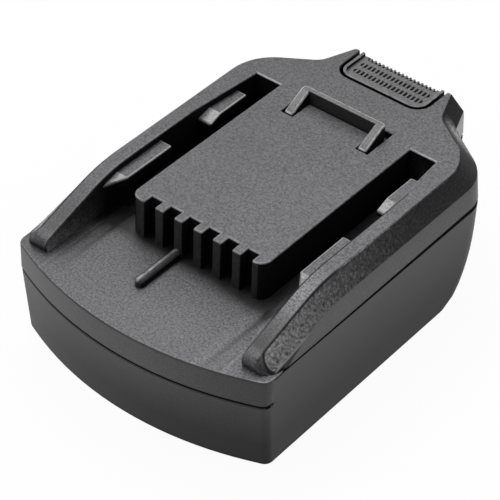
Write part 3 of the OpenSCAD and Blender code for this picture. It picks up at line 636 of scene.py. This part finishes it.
@dataclass(frozen=True)
class Band(Moulding):
    """The coarse band on the flanks, with painted glints and painted light that makes it paler towards the
    nose; sizes in mm.
    """

    tongue: Tongue = Tongue()
    strip: Colour = (0.05, 0.05, 0.051)
    pale_y: Span = (16.0, -40.0)
    pale: float = 17.0
    spark_mm: float = 0.6
    spark_warp: float = 0.8
    spark_cut: Span = (0.52, 0.7)
    spark_front: float = 8.0
    foot_line: float = 0.7
    nose_z: Span = (28.3, 31.0)
    nose_foot: float = 0.4
    nose: float = 6.5
    root_y: Span = (40.5, 45.0)
    root_end: Span = (48.6, 47.2)
    root_z: Span = (38.7, 36.6)
    root_turn: Span = (0.1, 0.4)
    root: float = 22.0
    facet_y: Span = (46.5, 47.5)
    facet_z: Span = (36.6, 38.7)
    facet: float = 0.5

    def hollow(self, sheet: Sheet) -> Wire:
        """A mask of the smooth hollow where each shoulder runs into the neck, on faces turned backwards,
        for a painted highlight.

        Args:
            sheet: the sheet to work on.

        Returns:
            The mask.
        """
        _, y, z = sheet.axes()
        along = y.rising(*self.root_y) * y.rising(*self.root_end)
        return along * z.rising(*self.root_z) * sheet.facing()[1].rising(*self.root_turn)

    def marked(self, sheet: Sheet, colour: Wire) -> Wire:
        """Adds the painted glints, the painted light of the paler front, the painted highlight in the
        hollow, painted shade on the neck's facet, the round end with painted shadow at the nose's foot,
        and the painted highlight and shade lines.

        Args:
            sheet: the sheet to work on.
            colour: the grained and worn colour.

        Returns:
            The marked colour.
        """
        _, y, z = sheet.axes()
        # Painted light: paler towards the nose, with painted glints that grow there.
        front = y.rising(*self.pale_y)
        sparks = sheet.noise(self.spark_mm, 1.0, 0.5, self.spark_warp).rising(*self.spark_cut)
        light = 1 + front * front * self.pale + sparks * (1 + front * self.spark_front)
        # Painted shade on the neck's facet, and a painted highlight in the shoulder hollows.
        facet = y.rising(*self.facet_y) * z.rising(*self.facet_z) * self.facet
        lit = sheet.scale(colour, light + self.hollow(sheet) * self.root - facet)
        # A painted highlight line along the front of the band's lower edge, with the satin strip below it.
        pale_line, below = self.tongue.foot(sheet)
        stripped = sheet.blend(below, lit, self.strip)
        edged = sheet.blend(pale_line * self.foot_line, stripped, self.rubbed_and_highlit)
        # The nose's face, with painted shadow that darkens it towards its foot.
        bare = sheet.scale(colour, self.nose_foot + z.rising(*self.nose_z) * self.nose)
        nose = sheet.blend(self.tongue.ended(sheet), edged, bare)
        # Painted shade along the crease.
        return sheet.blend(self.tongue.crease(sheet), nose, PAINTED_SHADE)


@dataclass(frozen=True)
class Tub(Moulding):
    """The satin lower shell, with painted shade that darkens it towards its bottom rim and on its long
    sides; sizes in mm.
    """

    fade_z: Span = (7.0, 26.0)
    foot: float = 0.2
    rim_z: Span = (0.5, 1.5)
    rim: float = 0.2
    side: float = 0.22

    def marked(self, sheet: Sheet, colour: Wire) -> Wire:
        """Adds the painted shade of the darker foot, rim and sides.

        Args:
            sheet: the sheet to work on.
            colour: the grained and worn colour.

        Returns:
            The marked colour.
        """
        z = sheet.axes()[2]
        foot = self.foot + z.rising(*self.fade_z) * (1 - self.foot)
        rim = self.rim + z.rising(*self.rim_z) * (1 - self.rim)
        side = 1 - sheet.facing()[0].absolute() * self.side
        return sheet.scale(colour, foot * rim * side)


@dataclass(frozen=True)
class Strip(Moulding):
    """The satin strip above the seam, with a painted highlight that makes it paler on the neck; sizes in
    mm.
    """

    neck_y: Span = (44.0, 48.0)
    pale: float = 2.2

    def marked(self, sheet: Sheet, colour: Wire) -> Wire:
        """Adds the painted highlight on the neck."""
        return sheet.scale(colour, 1 + sheet.axes()[1].rising(*self.neck_y) * self.pale)


@dataclass(frozen=True)
class Skirt(Moulding):
    """The satin front above the seam, with a painted shadow line below the deck's edge and painted shade
    towards its right end; sizes in mm.
    """

    line_z: Span = (27.1, 27.5)
    line_x: Span = (26.0, -10.0)
    line: float = 0.35
    line_left: float = 0.4
    dim_x: Span = (10.0, 34.0)
    dim: float = 0.42

    def marked(self, sheet: Sheet, colour: Wire) -> Wire:
        """Adds the painted shadow line, which fades to the right, and the painted shade of the darker
        right end.

        Args:
            sheet: the sheet to work on.
            colour: the grained and worn colour.

        Returns:
            The marked colour.
        """
        x, _, z = sheet.axes()
        line = z.rising(*self.line_z) * (self.line + x.rising(*self.line_x) * self.line_left)
        return sheet.scale(colour, (1 - line) * (1 - x.rising(*self.dim_x) * self.dim))


@dataclass(frozen=True)
class Wall(Moulding):
    """The deep walls of the channels, near-black for their painted shade and with painted light where they
    come out beside the noses; sizes in mm.
    """

    rail_x: Span = (27.0, 28.5)
    pale_y: Span = (-25.5, -45.0)
    pale: float = 31.0
    low_z: Span = (33.0, 28.5)
    high: float = 0.35

    def marked(self, sheet: Sheet, colour: Wire) -> Wire:
        """Adds the painted light of the paler front, strongest low down.

        Args:
            sheet: the sheet to work on.
            colour: the grained and worn colour.

        Returns:
            The marked colour.
        """
        x, y, z = sheet.axes()
        front = x.absolute().rising(*self.rail_x) * y.rising(*self.pale_y)
        low = self.high + z.rising(*self.low_z) * (1 - self.high)
        return sheet.scale(colour, 1 + front * low * self.pale)


@dataclass(frozen=True)
class Pad(Moulding):
    """The button's pad, with painted shade down in its grooves; sizes in mm."""

    groove_z: Span = (38.15, 37.8)
    dark: float = 0.42

    def marked(self, sheet: Sheet, colour: Wire) -> Wire:
        """Adds the painted shade in the grooves."""
        return sheet.blend(sheet.axes()[2].rising(*self.groove_z) * self.dark, colour, PAINTED_SHADE)


@dataclass(frozen=True)
class Metal:
    """A plain metal with a drawn or stamped surface and dull patches."""

    name: str
    colour: Colour
    dull: Colour
    roughness: float
    stretch: Triple = (1.0, 1.0, 12.0)
    line_scale: float = 900.0
    patch_mm: float = 2.4
    patch_cut: Span = (0.42, 0.68)
    patchy: float = 0.6

    def build(self) -> bpy.types.Material:
        """Makes the material.

        Returns:
            The material.
        """
        material, sheet = new_material(self.name)
        along = sheet.node("ShaderNodeMapping", sockets={"Vector": sheet.place(), "Scale": self.stretch})
        lines = sheet.node("ShaderNodeTexNoise", sockets={
            "Vector": along, "Scale": self.line_scale, "Detail": 3.0})
        patches = sheet.noise(self.patch_mm, 3.0).rising(*self.patch_cut)
        surface(sheet, {
            "Base Color": sheet.blend(patches * self.patchy, self.colour, self.dull),
            "Metallic": 1.0,
            "Roughness": self.roughness + (lines - 0.5) * 0.22 + patches * 0.12,
            "Normal": sheet.bump(lines, 0.02, 0.25),
        })
        return material


@dataclass(frozen=True)
class Laminate:
    """Solder mask over copper tracks."""

    name: str
    mask: Colour
    track: Colour
    roughness: float = 0.32
    lane_scale: float = 150.0
    lane: float = 0.7
    weave_mm: float = 0.8
    weave: float = 0.2

    def build(self) -> bpy.types.Material:
        """Makes the material.

        Returns:
            The material.
        """
        material, sheet = new_material(self.name)
        lanes = sheet.node(
            "ShaderNodeTexBrick",
            {"offset": 0.5},
            {"Vector": sheet.place(), "Scale": self.lane_scale, "Mortar Size": 0.05, "Mortar Smooth": 0.2},
            "Fac",
        )
        weave = sheet.noise(self.weave_mm)
        share = lanes * self.lane + (weave - 0.5) * self.weave
        surface(sheet, {
            "Base Color": sheet.blend(share, self.mask, self.track),
            "Roughness": self.roughness + weave * 0.1,
            "Normal": sheet.bump(lanes, 0.04, 0.4),
        })
        return material


@dataclass(frozen=True)
class Sleeving:
    """Glossy insulation on a lead."""

    name: str
    colour: Colour
    roughness: float = 0.28
    shaded: float = 0.6
    cloud_mm: float = 1.5
    cloud_cut: Span = (0.35, 0.7)

    def build(self) -> bpy.types.Material:
        """Makes the material.

        Returns:
            The material.
        """
        material, sheet = new_material(self.name)
        cloud = sheet.noise(self.cloud_mm)
        shade = tuple(c * self.shaded for c in self.colour)
        surface(sheet, {
            "Base Color": sheet.blend(cloud.rising(*self.cloud_cut), self.colour, shade),
            "Roughness": self.roughness + cloud * 0.15,
            "Normal": sheet.bump(cloud, 0.02, 0.2),
        })
        return material


class Zone(Enum):
    """Kinds of moulded surface, told apart by texture and also by how light falls on them."""

    TOP = 0
    BAND = 1
    STRIP = 2
    TUB = 3
    RAMP = 4
    WALL = 5
    GAP = 6
    PAD = 7
    HOOK = 8
    FACE = 9
    SKIRT = 10


# Lighter copies of the plastic for painted highlight (RAMP, HOOK), darker copies for painted shade (FACE,
# WALL), and near-black painted shade in the seams (GAP).
MOULDINGS: dict[Zone, Moulding] = {
    Zone.TOP: Top(
        "grained_top", (0.092, 0.091, 0.097), (0.32, 0.32, 0.33), roughness=0.5,
        grain_mm=0.52, contrast=3.4, depth_mm=0.05, strength=0.6,
    ),
    Zone.BAND: Band(
        "coarse_band", (0.011, 0.011, 0.0112), (0.3, 0.3, 0.3), roughness=0.6,
        grain_mm=0.75, contrast=3.6, depth_mm=0.16, strength=0.9, specular=0.2,
    ),
    Zone.STRIP: Strip(
        "satin_strip", (0.1, 0.1, 0.101), (0.2, 0.2, 0.2), roughness=0.42,
        grain_mm=0.4, contrast=1.4, depth_mm=0.01, strength=0.3, specular=0.4,
    ),
    Zone.TUB: Tub(
        "satin_tub", (0.09, 0.087, 0.088), (0.1, 0.1, 0.1), roughness=0.42,
        grain_mm=0.4, contrast=1.2, depth_mm=0.01, strength=0.3, specular=0.18,
    ),
    # Painted highlight on the tabs' ramps and the channels' ends.
    Zone.RAMP: Moulding(
        "highlit_ramp", (0.3, 0.3, 0.305), (0.45, 0.45, 0.45), roughness=0.34,
        grain_mm=0.6, contrast=2.0, depth_mm=0.04,
    ),
    # Near-black painted shade in the channels, with painted light at their fronts.
    Zone.WALL: Wall(
        "deep_wall", (0.005, 0.005, 0.0052), (0.03, 0.03, 0.03), roughness=0.65,
        grain_mm=0.6, contrast=3.4, depth_mm=0.08, strength=0.8, specular=0.1,
    ),
    # Near-black painted shade inside the seams.
    Zone.GAP: Moulding(
        "seam_gap", PAINTED_SHADE, (0.006, 0.006, 0.006), roughness=0.8,
        grain_mm=0.6, contrast=0.4, depth_mm=0.01, strength=0.2, specular=0.1,
    ),
    Zone.PAD: Pad(
        "ribbed_pad", (0.1, 0.1, 0.104), (0.3, 0.3, 0.305), roughness=0.48,
        grain_mm=0.5, contrast=2.6, depth_mm=0.04,
    ),
    # A lighter copy for the hook's top: painted highlight.
    Zone.HOOK: Moulding(
        "hook_top", (0.11, 0.11, 0.113), (0.5, 0.5, 0.5), roughness=0.4,
        grain_mm=0.55, contrast=2.4, depth_mm=0.04,
    ),
    # A darker copy for faces that turn forward: painted shade.
    Zone.FACE: Moulding(
        "moulded_face", (0.024, 0.024, 0.0245), (0.2, 0.2, 0.2), roughness=0.45,
        grain_mm=0.5, contrast=2.6, depth_mm=0.03, strength=0.5, specular=0.3,
    ),
    Zone.SKIRT: Skirt(
        "satin_skirt", (0.077, 0.0755, 0.076), (0.16, 0.16, 0.16), roughness=0.4,
        grain_mm=0.4, contrast=1.4, depth_mm=0.01, strength=0.3, specular=0.3,
    ),
}


@dataclass(frozen=True)
class Edge:
    """How the edges of a moulded piece are rounded."""

    width_mm: float
    segments: int = 2
    least_deg: float = 35.0
    shortest_mm: float = 0.15


class Piece:
    """A detailed copy of a CAD node, which stands for it."""

    merge_mm: float = 0.02
    sliver_mm: float = 0.01
    flat_deg: float = 0.6
    sharp_deg: float = 32.0
    wear_and_highlight_above: float = 0.25

    def __init__(self, node: str, name: str, body: str, slot: str) -> None:
        """Copies the node's mesh and joins its loose triangles.

        Args:
            node: the CAD node.
            name: the new piece's name.
            body: the CAD body that it rides on.
            slot: the record's material slot; not used.
        """
        self.node, self.name, self.body, self.slot = node, name, body, slot
        self.bm = bmesh.new()
        self.bm.from_mesh(frame["nodes"][node].data)
        bmesh.ops.remove_doubles(self.bm, verts=self.bm.verts, dist=self.merge_mm * MM)
        bmesh.ops.dissolve_degenerate(self.bm, edges=self.bm.edges, dist=self.sliver_mm * MM)
        bmesh.ops.dissolve_limit(
            self.bm, angle_limit=math.radians(self.flat_deg), verts=self.bm.verts, edges=self.bm.edges
        )
        self.edge = self.bm.faces.layers.float.new("edge")

    def soften(
        self,
        edge: Edge,
        wanted: Callable[[bmesh.types.BMEdge], bool] | None = None,
        wear_and_highlight: Callable[[Vector], float] | None = None,
    ) -> None:
        """Rounds the sharp outer edges.

        Args:
            edge: how they are rounded.
            wanted: picks among the sharp edges.
            wear_and_highlight: gives the rubbing wear and painted highlight at a place in mm; without it,
                every edge that faces up gets them in full.
        """
        least = math.radians(edge.least_deg)
        sharp = [
            e for e in self.bm.edges
            if e.is_manifold and e.calc_length() > edge.shortest_mm * MM
            and e.calc_face_angle_signed(0.0) > least and (wanted is None or wanted(e))
        ]
        made = bmesh.ops.bevel(
            self.bm, geom=sharp, offset=edge.width_mm * MM, offset_type="OFFSET", affect="EDGES",
            segments=edge.segments, profile=0.5, material=-1, clamp_overlap=False, loop_slide=True,
        )
        # Rounded faces that turn up get the rubbing wear and painted highlight, the others none.
        for face in made["faces"]:
            wear = wear_and_highlight(face.calc_center_median() / MM) if wear_and_highlight else 1.0
            face[self.edge] = wear if face.normal.z > self.wear_and_highlight_above else 0.0
        log.info("%s: %d edges rounded", self.name, len(sharp))

    def finish(
        self,
        mouldings: list[bpy.types.Material],
        zone: Callable[[Vector, Vector], Zone],
    ) -> None:
        """Turns the mesh into an object that stands for its node.

        Args:
            mouldings: the materials, in the order of Zone.
            zone: gives a face's zone from its middle, in mm, and its normal.
        """
        for face in self.bm.faces:
            face.smooth = True
            face.material_index = zone(face.calc_center_median() / MM, face.normal).value
        mesh = bpy.data.meshes.new(self.name)
        self.bm.to_mesh(mesh)
        self.bm.free()
        mesh.set_sharp_from_angle(angle=math.radians(self.sharp_deg))
        for material in mouldings:
            mesh.materials.append(material)
        made = bpy.data.objects.new(self.name, mesh)
        bpy.context.scene.collection.objects.link(made)
        weighted = made.modifiers.new("even_normals", "WEIGHTED_NORMAL")
        weighted.keep_sharp = True
        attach(made, self.body)
        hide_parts(self.node)
        log.info("%s: %d faces", self.name, len(mesh.polygons))


def lies(edge: bmesh.types.BMEdge, axis: int, place_mm: float) -> bool:
    """Whether both ends of an edge lie in a plane across axis 0, 1 or 2."""
    return all(abs(v.co[axis] / MM - place_mm) < PLANE_MM for v in edge.verts)


@dataclass
class Housing:
    """The two shells: sizes in mm, slopes that tell their surfaces apart, and how much rubbing wear and
    painted highlight their edges get.
    """

    skirt_z: float = 20.0
    seam_z: float = 19.0
    gap: float = 0.3
    rail_in: float = 29.7
    rail_out: float = 33.6
    rail_edge: Span = (29.3, 30.2)
    rim_w: float = 0.6
    block_x: float = 20.2
    nose_y: float = -43.0
    ramp_y: float = -6.0
    comb_y: float = -20.0
    channel_y: Span = (29.25, 30.25)
    shoulder_y: float = 31.0
    neck_y: float = 40.0
    joint_y: Span = (-45.15, -42.35)
    tab_z: Span = (35.0, 37.25)
    tab_x: Span = (24.8, 30.0)
    face_y: float = COMB_Y + 0.3
    rib: Triple = (-5.4, 1.2, -27.8)
    rib_z: float = DECK_Z + 0.5
    under: float = -0.6
    inward: float = -0.3
    forward: float = -0.7
    turned: float = 0.2
    sloped: float = 0.3
    leaning: float = 0.35
    upward: float = 0.5
    level: float = 0.85
    flat: float = 0.99
    front_gap: float = 0.55
    side_gap: float = 0.3
    # How much rubbing wear and painted highlight each kind of rounded edge gets; the rail's is for the
    # left rail only.
    corner_wear_and_highlight: float = 0.5
    deck_wear_and_highlight: float = 0.1
    flank_wear_and_highlight: float = 0.15
    rail_wear_and_highlight: float = 0.45
    comb_wear_and_highlight: float = 0.65
    block_wear_and_highlight: float = 0.4
    edge: Edge = Edge(0.38)
    seam: Edge = Edge(0.45)

    def upper_zone(self, middle: Vector, normal: Vector) -> Zone:
        """The zone of a face of the upper shell.

        Args:
            middle: its middle, in mm.
            normal: its normal.

        Returns:
            The zone.
        """
        outward = math.copysign(1.0, middle.x) * normal.x
        x = abs(middle.x)
        # Faces that turn down are near-black painted shade.
        if normal.z < self.under:
            return Zone.GAP
        # The right rail's inner rounded edge is painted shade.
        if self.rail_edge[0] < middle.x < self.rail_edge[1] and normal.x < self.inward:
            return Zone.WALL
        # Faces at the channels' ends that turn forward and up get the ramps' painted highlight.
        channel_end = x > self.block_x and self.channel_y[0] < middle.y < self.channel_y[1]
        if channel_end and normal.y < -self.turned and normal.z > self.turned:
            return Zone.RAMP
        if normal.z > self.level:
            # The tabs' sloped tops get the ramps' painted highlight.
            on_tab = self.tab_z[0] < middle.z < self.tab_z[1] and self.tab_x[0] < x < self.tab_x[1]
            return Zone.RAMP if on_tab and normal.z < self.flat else Zone.TOP
        if middle.z < DECK_Z + 0.1:
            return Zone.SKIRT
        outer = x > self.rail_in or middle.y > self.neck_y
        if outer and outward > self.turned and normal.z > self.leaning:
            return Zone.BAND
        if outer and middle.y < self.nose_y:
            return Zone.TOP
        if outer and outward > self.turned:
            return Zone.STRIP
        if normal.z > self.sloped:
            return Zone.TOP
        # Forward faces and other upright faces are darker copies: painted shade.
        return Zone.FACE if middle.y < self.face_y and normal.y < self.forward else Zone.WALL

    def lower_zone(self, middle: Vector, normal: Vector) -> Zone:
        """The zone of a face of the lower shell.

        Args:
            middle: its middle, in mm.
            normal: its normal.

        Returns:
            The zone.
        """
        # Upward faces above the seam's height are near-black painted shade in the seam.
        steep = self.front_gap if middle.y < self.nose_y else self.side_gap
        return Zone.GAP if normal.z > steep and middle.z > self.seam_z else Zone.TUB

    def wear_and_highlight(self, middle: Vector) -> float:
        """How much rubbing wear and painted highlight a rounded edge of the upper shell gets.

        Args:
            middle: the middle of a face of the edge, in mm.

        Returns:
            The wear and painted highlight, from 0 to 1.
        """
        x = abs(middle.x)
        if middle.y > self.shoulder_y:
            return 0.0
        if middle.z < DECK_Z + 0.3:
            return self.corner_wear_and_highlight if middle.x > self.rail_out else self.deck_wear_and_highlight
        if x > self.rail_out - self.rim_w:
            return self.flank_wear_and_highlight if middle.y > self.ramp_y else 0.0
        if x > self.rail_in - self.rim_w:
            return self.rail_wear_and_highlight if middle.x < 0 else 0.0
        return self.comb_wear_and_highlight if middle.y < self.comb_y else self.block_wear_and_highlight

    def open_edge(self, edge: bmesh.types.BMEdge) -> bool:
        """Whether an edge isn't where the shells touch face to face."""
        return not any(lies(edge, 1, y) for y in self.joint_y)

    def seam_edge(self, edge: bmesh.types.BMEdge) -> bool:
        """Whether an edge is beside the seam between the shells.

        Args:
            edge: the edge.

        Returns:
            True if it is.
        """
        half = self.gap / 2
        heights = (DECK_Z, DECK_Z - self.gap, self.skirt_z + half, self.skirt_z - half)
        beside = any(lies(edge, 2, z) for z in heights)
        upright = max(f.normal.z for f in edge.link_faces) < self.upward
        below = edge.verts[0].co.z < (DECK_Z - 0.1) * MM
        return self.open_edge(edge) and beside and (upright or below)

    def highlight_rib_crest(self, piece: Piece) -> None:
        """Gives the crest of the key rib a painted highlight and takes it off the rib's other faces.

        Args:
            piece: the upper shell.
        """
        x, half, end = self.rib
        for face in piece.bm.faces:
            middle = face.calc_center_median() / MM
            if abs(middle.x - x) < half and middle.y < end and middle.z > self.rib_z:
                face[piece.edge] = float(face.normal.z > self.upward and face.normal.x < 0.1)

    def dress(self, mouldings: list[bpy.types.Material]) -> None:
        """Builds both shells.

        Args:
            mouldings: the materials, in the order of Zone.
        """
        upper = Piece("upper_shell", "upper_shell_moulding", "housing", "upper_plastic")
        upper.soften(self.seam, self.seam_edge)
        upper.soften(self.edge, self.open_edge, self.wear_and_highlight)
        self.highlight_rib_crest(upper)
        upper.finish(mouldings, self.upper_zone)
        lower = Piece("lower_shell", "lower_shell_moulding", "housing", "lower_plastic")
        lower.soften(self.seam, self.seam_edge)
        lower.soften(self.edge, self.open_edge)
        lower.finish(mouldings, self.lower_zone)


@dataclass
class Latch:
    """The button and the hook, which move together; sizes in mm."""

    bar_low: float = 38.7
    bar_top: float = 40.2
    rim_z: float = 38.7
    rib_n: int = 17
    rib_pitch: float = 1.22
    rib_size: Triple = (0.6, 7.9, 1.1)
    rib_at: Span = (50.95, 37.75)
    rib_y: float = 46.5
    rib_low: float = 36.75
    rib_wear_and_highlight: float = 0.5
    steep: float = 0.2
    forward: float = -0.7
    plumb: float = 0.05
    edge: Edge = Edge(0.25)
    rib_edge: Edge = Edge(0.18)
    bar_corner: Edge = Edge(1.1, 4)
    bar_edge: Edge = Edge(0.45, 3)

    def hook_zone(self, middle: Vector, normal: Vector) -> Zone:
        """The zone of a face of the hook.

        Args:
            middle: its middle, in mm; not used.
            normal: its normal.

        Returns:
            The zone.
        """
        # Upward faces are a lighter copy for a painted highlight; the upright ones are darker copies for
        # painted shade.
        if normal.z > self.steep:
            return Zone.HOOK
        return Zone.FACE if normal.y < self.forward else Zone.WALL

    def button_zone(self, middle: Vector, normal: Vector) -> Zone:
        """The zone of a face of the button.

        Args:
            middle: its middle, in mm.
            normal: its normal.

        Returns:
            The zone.
        """
        # Upright faces off the ribs are near-black painted shade.
        if normal.z < self.steep:
            within = abs(middle.x) < self.rib_n * self.rib_pitch / 2
            ribbed = within and middle.y > self.rib_y and middle.z > self.rib_low
            return Zone.PAD if ribbed else Zone.WALL
        return Zone.TOP if middle.z > self.rim_z else Zone.PAD

    def add_ribs(self, piece: Piece) -> None:
        """Adds the fine ribs that cross the pad's grooves.

        Args:
            piece: the button.
        """
        size = Matrix.Diagonal(Vector(self.rib_size) * MM).to_4x4()
        made = []
        for i in range(self.rib_n):
            x = (i - (self.rib_n - 1) / 2) * self.rib_pitch
            place = Matrix.Translation(Vector((x, *self.rib_at)) * MM)
            made += bmesh.ops.create_cube(piece.bm, size=1.0, matrix=place @ size)["verts"]
        own = set(made)
        # The ribs' upward rounded faces get rubbing wear and a painted highlight.
        piece.soften(self.rib_edge, lambda e: e.verts[0] in own, lambda middle: self.rib_wear_and_highlight)

    def upright(self, edge: bmesh.types.BMEdge) -> bool:
        """Whether an edge is one of the bar's upright corners."""
        a, b = (v.co / MM for v in edge.verts)
        return (a - b).xy.length < self.plumb and max(a.z, b.z) > self.bar_top

    def on_bar(self, edge: bmesh.types.BMEdge) -> bool:
        """Whether an edge is on the bar or on the legs that carry it."""
        return max(v.co.z for v in edge.verts) / MM > self.bar_low

    def dress(self, mouldings: list[bpy.types.Material]) -> None:
        """Builds the button and the hook.

        Args:
            mouldings: the materials, in the order of Zone.
        """
        button = Piece("release_button", "release_button_moulding", "latch", "button_plastic")
        button.soften(self.edge)
        self.add_ribs(button)
        button.finish(mouldings, self.button_zone)
        hook = Piece("latch_hook", "latch_hook_moulding", "latch", "hook_plastic")
        hook.soften(self.bar_corner, self.upright)
        hook.soften(self.bar_edge, self.on_bar)
        hook.finish(mouldings, self.hook_zone)


@dataclass
class Inside:
    """The inner pieces, which keep their CAD shape and get a finish by their record slot."""

    finishes: dict[str, Moulding | Metal | Laminate | Sleeving] = field(default_factory=lambda: {
        "insulator": Moulding(
            "insulator", (0.025, 0.025, 0.027), (0.08, 0.08, 0.08), roughness=0.42,
            grain_mm=0.4, contrast=0.8, depth_mm=0.02,
        ),
        "keeper_plastic": Moulding(
            "keeper", (0.045, 0.045, 0.048), (0.1, 0.1, 0.1), roughness=0.45,
            grain_mm=0.4, contrast=0.8, depth_mm=0.02,
        ),
        "spring_steel": Metal("spring_wire", (0.6, 0.61, 0.63), (0.4, 0.4, 0.41), 0.28),
        "screw_steel": Metal("screw_zinc", (0.5, 0.51, 0.53), (0.33, 0.33, 0.34), 0.34),
        "contact_brass": Metal("contact_strip", (0.66, 0.45, 0.15), (0.42, 0.29, 0.12), 0.3),
        "board_laminate": Laminate("board_mask", (0.02, 0.11, 0.035), (0.05, 0.2, 0.07)),
        "fuse_ceramic": Moulding(
            "fuse_body", (0.66, 0.64, 0.58), (0.75, 0.74, 0.7), roughness=0.5,
            grain_mm=0.5, contrast=0.3, depth_mm=0.02,
        ),
        "can_aluminium": Metal("can_skin", (0.52, 0.54, 0.57), (0.36, 0.37, 0.39), 0.32),
        "package_black": Moulding(
            "package", (0.018, 0.018, 0.02), (0.05, 0.05, 0.05), roughness=0.55,
            grain_mm=0.3, contrast=1.0, depth_mm=0.02,
        ),
        "lead_red": Sleeving("red_sleeve", (0.45, 0.02, 0.015)),
        "lead_black": Sleeving("black_sleeve", (0.012, 0.012, 0.013)),
        "lead_yellow": Sleeving("yellow_sleeve", (0.68, 0.47, 0.03)),
    })

    def dress(self) -> None:
        """Gives each inner CAD node its finish."""
        built = {slot: finish.build() for slot, finish in self.finishes.items()}
        for part in frame["record"]["subparts"]:
            slot = part["material_slot"]
            if slot in built:
                mesh = frame["nodes"][part["node"]].data
                mesh.materials.clear()
                mesh.materials.append(built[slot])
                log.info("%s: %s", part["node"], built[slot].name)


@dataclass(frozen=True)
class Softbox:
    """A square soft light that faces the object."""

    name: str
    azimuth: float
    elevation: float
    distance: float
    size: float
    radiance: float

    def build(self, aim: Vector) -> None:
        """Makes the light.

        Args:
            aim: the point that it faces.
        """
        data = bpy.data.lights.new(self.name, "AREA")
        data.shape = "SQUARE"
        data.size = self.size
        data.energy = self.radiance * math.pi * self.size**2
        lamp = bpy.data.objects.new(self.name, data)
        away = direction(self.azimuth, self.elevation)
        lamp.location = aim + away * self.distance
        lamp.rotation_mode = "QUATERNION"
        lamp.rotation_quaternion = away.to_track_quat("Z", "Y")
        bpy.context.scene.collection.objects.link(lamp)


def direction(azimuth: float, elevation: float) -> Vector:
    """The direction from the object to a place round it.

    Args:
        azimuth: degrees from the front, towards +X.
        elevation: degrees above the floor.

    Returns:
        A unit vector.
    """
    a, e = math.radians(azimuth), math.radians(elevation)
    return Vector((math.sin(a) * math.cos(e), -math.cos(a) * math.cos(e), math.sin(e)))


@dataclass
class Studio:
    """The camera, the floor and the light."""

    azimuth: float = 37.545
    elevation: float = 40.679
    roll: float = 1.993
    distance_mm: float = 527.609
    offset_mm: Span = (12.987, 3.780)
    aim_mm: Triple = (0.0, COMB_Y, DECK_Z)
    lens: float = 161.26
    sensor: float = 36.0
    clip: Span = (0.01, 50.0)
    floor_size: float = 8.0
    floor_drop_mm: float = 0.02
    floor_grey: float = 0.9
    sky: float = 0.3
    glow_seen: float = 0.95
    glow_mirrored: float = 0.72
    boxes: tuple[Softbox, ...] = (
        Softbox("key_softbox", 208.0, 48.0, 0.85, 0.7, 1.8),
        Softbox("top_softbox", 260.0, 65.0, 0.9, 0.55, 3.6),
        Softbox("front_softbox", 322.0, 40.0, 1.0, 0.45, 2.6),
        Softbox("side_softbox", 118.0, 44.0, 0.9, 0.35, 1.6),
    )

    def camera(self) -> None:
        """Makes the camera at the photograph's viewpoint."""
        back = direction(self.azimuth, self.elevation)
        a = math.radians(self.azimuth)
        level = Vector((math.cos(a), math.sin(a), 0.0))
        rise = back.cross(level)
        r = math.radians(self.roll)
        right = level * math.cos(r) + rise * math.sin(r)
        up = rise * math.cos(r) - level * math.sin(r)
        along, above = self.offset_mm
        place = Vector(self.aim_mm) + right * along + up * above + back * self.distance_mm
        data = bpy.data.cameras.new("camera")
        data.lens, data.sensor_width = self.lens, self.sensor
        data.clip_start, data.clip_end = self.clip
        made = bpy.data.objects.new("camera", data)
        turn = Matrix((right, up, back)).transposed().to_4x4()
        made.matrix_world = Matrix.Translation(place * MM) @ turn
        bpy.context.scene.collection.objects.link(made)
        bpy.context.scene.camera = made

    def floor(self) -> None:
        """Makes the white floor, which keeps the object's shadow."""
        bm = bmesh.new()
        bmesh.ops.create_grid(bm, x_segments=1, y_segments=1, size=self.floor_size / 2)
        bmesh.ops.translate(bm, verts=bm.verts, vec=(0.0, 0.0, -self.floor_drop_mm * MM))
        mesh = bpy.data.meshes.new("floor")
        bm.to_mesh(mesh)
        bm.free()
        material, sheet = new_material("floor_white")
        rays = sheet.node("ShaderNodeLightPath").socket.node
        seen = Wire(sheet, rays.outputs["Is Camera Ray"]) * self.glow_seen
        for name in ("Is Glossy Ray", "Is Transmission Ray"):
            seen = seen.most(Wire(sheet, rays.outputs[name]) * self.glow_mirrored)
        grey = (self.floor_grey, self.floor_grey, self.floor_grey, 1.0)
        matt = sheet.node("ShaderNodeBsdfDiffuse", sockets={"Color": grey})
        glow = sheet.node("ShaderNodeEmission", sockets={"Color": WHITE, "Strength": 1.0})
        lit = sheet.node("ShaderNodeMixShader", sockets={0: seen, 1: matt, 2: glow})
        clear = sheet.node("ShaderNodeBsdfTransparent")
        under = sheet.node("ShaderNodeNewGeometry", output="Backfacing")
        both = sheet.node("ShaderNodeMixShader", sockets={0: under, 1: lit, 2: clear})
        sheet.node("ShaderNodeOutputMaterial", sockets={"Surface": both})
        mesh.materials.append(material)
        made = bpy.data.objects.new("floor", mesh)
        bpy.context.scene.collection.objects.link(made)

    def light(self) -> None:
        """Makes the even sky and the softboxes."""
        world = bpy.data.worlds.new("studio")
        bpy.context.scene.world = world
        world.use_nodes = True
        sheet = Sheet(world.node_tree)
        sky = sheet.node("ShaderNodeBackground", sockets={"Color": WHITE, "Strength": self.sky})
        sheet.node("ShaderNodeOutputWorld", sockets={"Surface": sky})
        aim = Vector(self.aim_mm) * MM
        for box in self.boxes:
            box.build(aim)

    def build(self) -> None:
        """Makes the whole studio."""
        bpy.context.scene.view_settings.view_transform = "Standard"
        self.camera()
        self.floor()
        self.light()


def main() -> None:
    """Builds the pieces in order."""
    logging.basicConfig(level=logging.INFO)
    Studio().build()
    mouldings = [MOULDINGS[zone].build() for zone in Zone]
    Housing().dress(mouldings)
    Latch().dress(mouldings)
    Inside().dress()


if __name__ == "__main__":
    main()
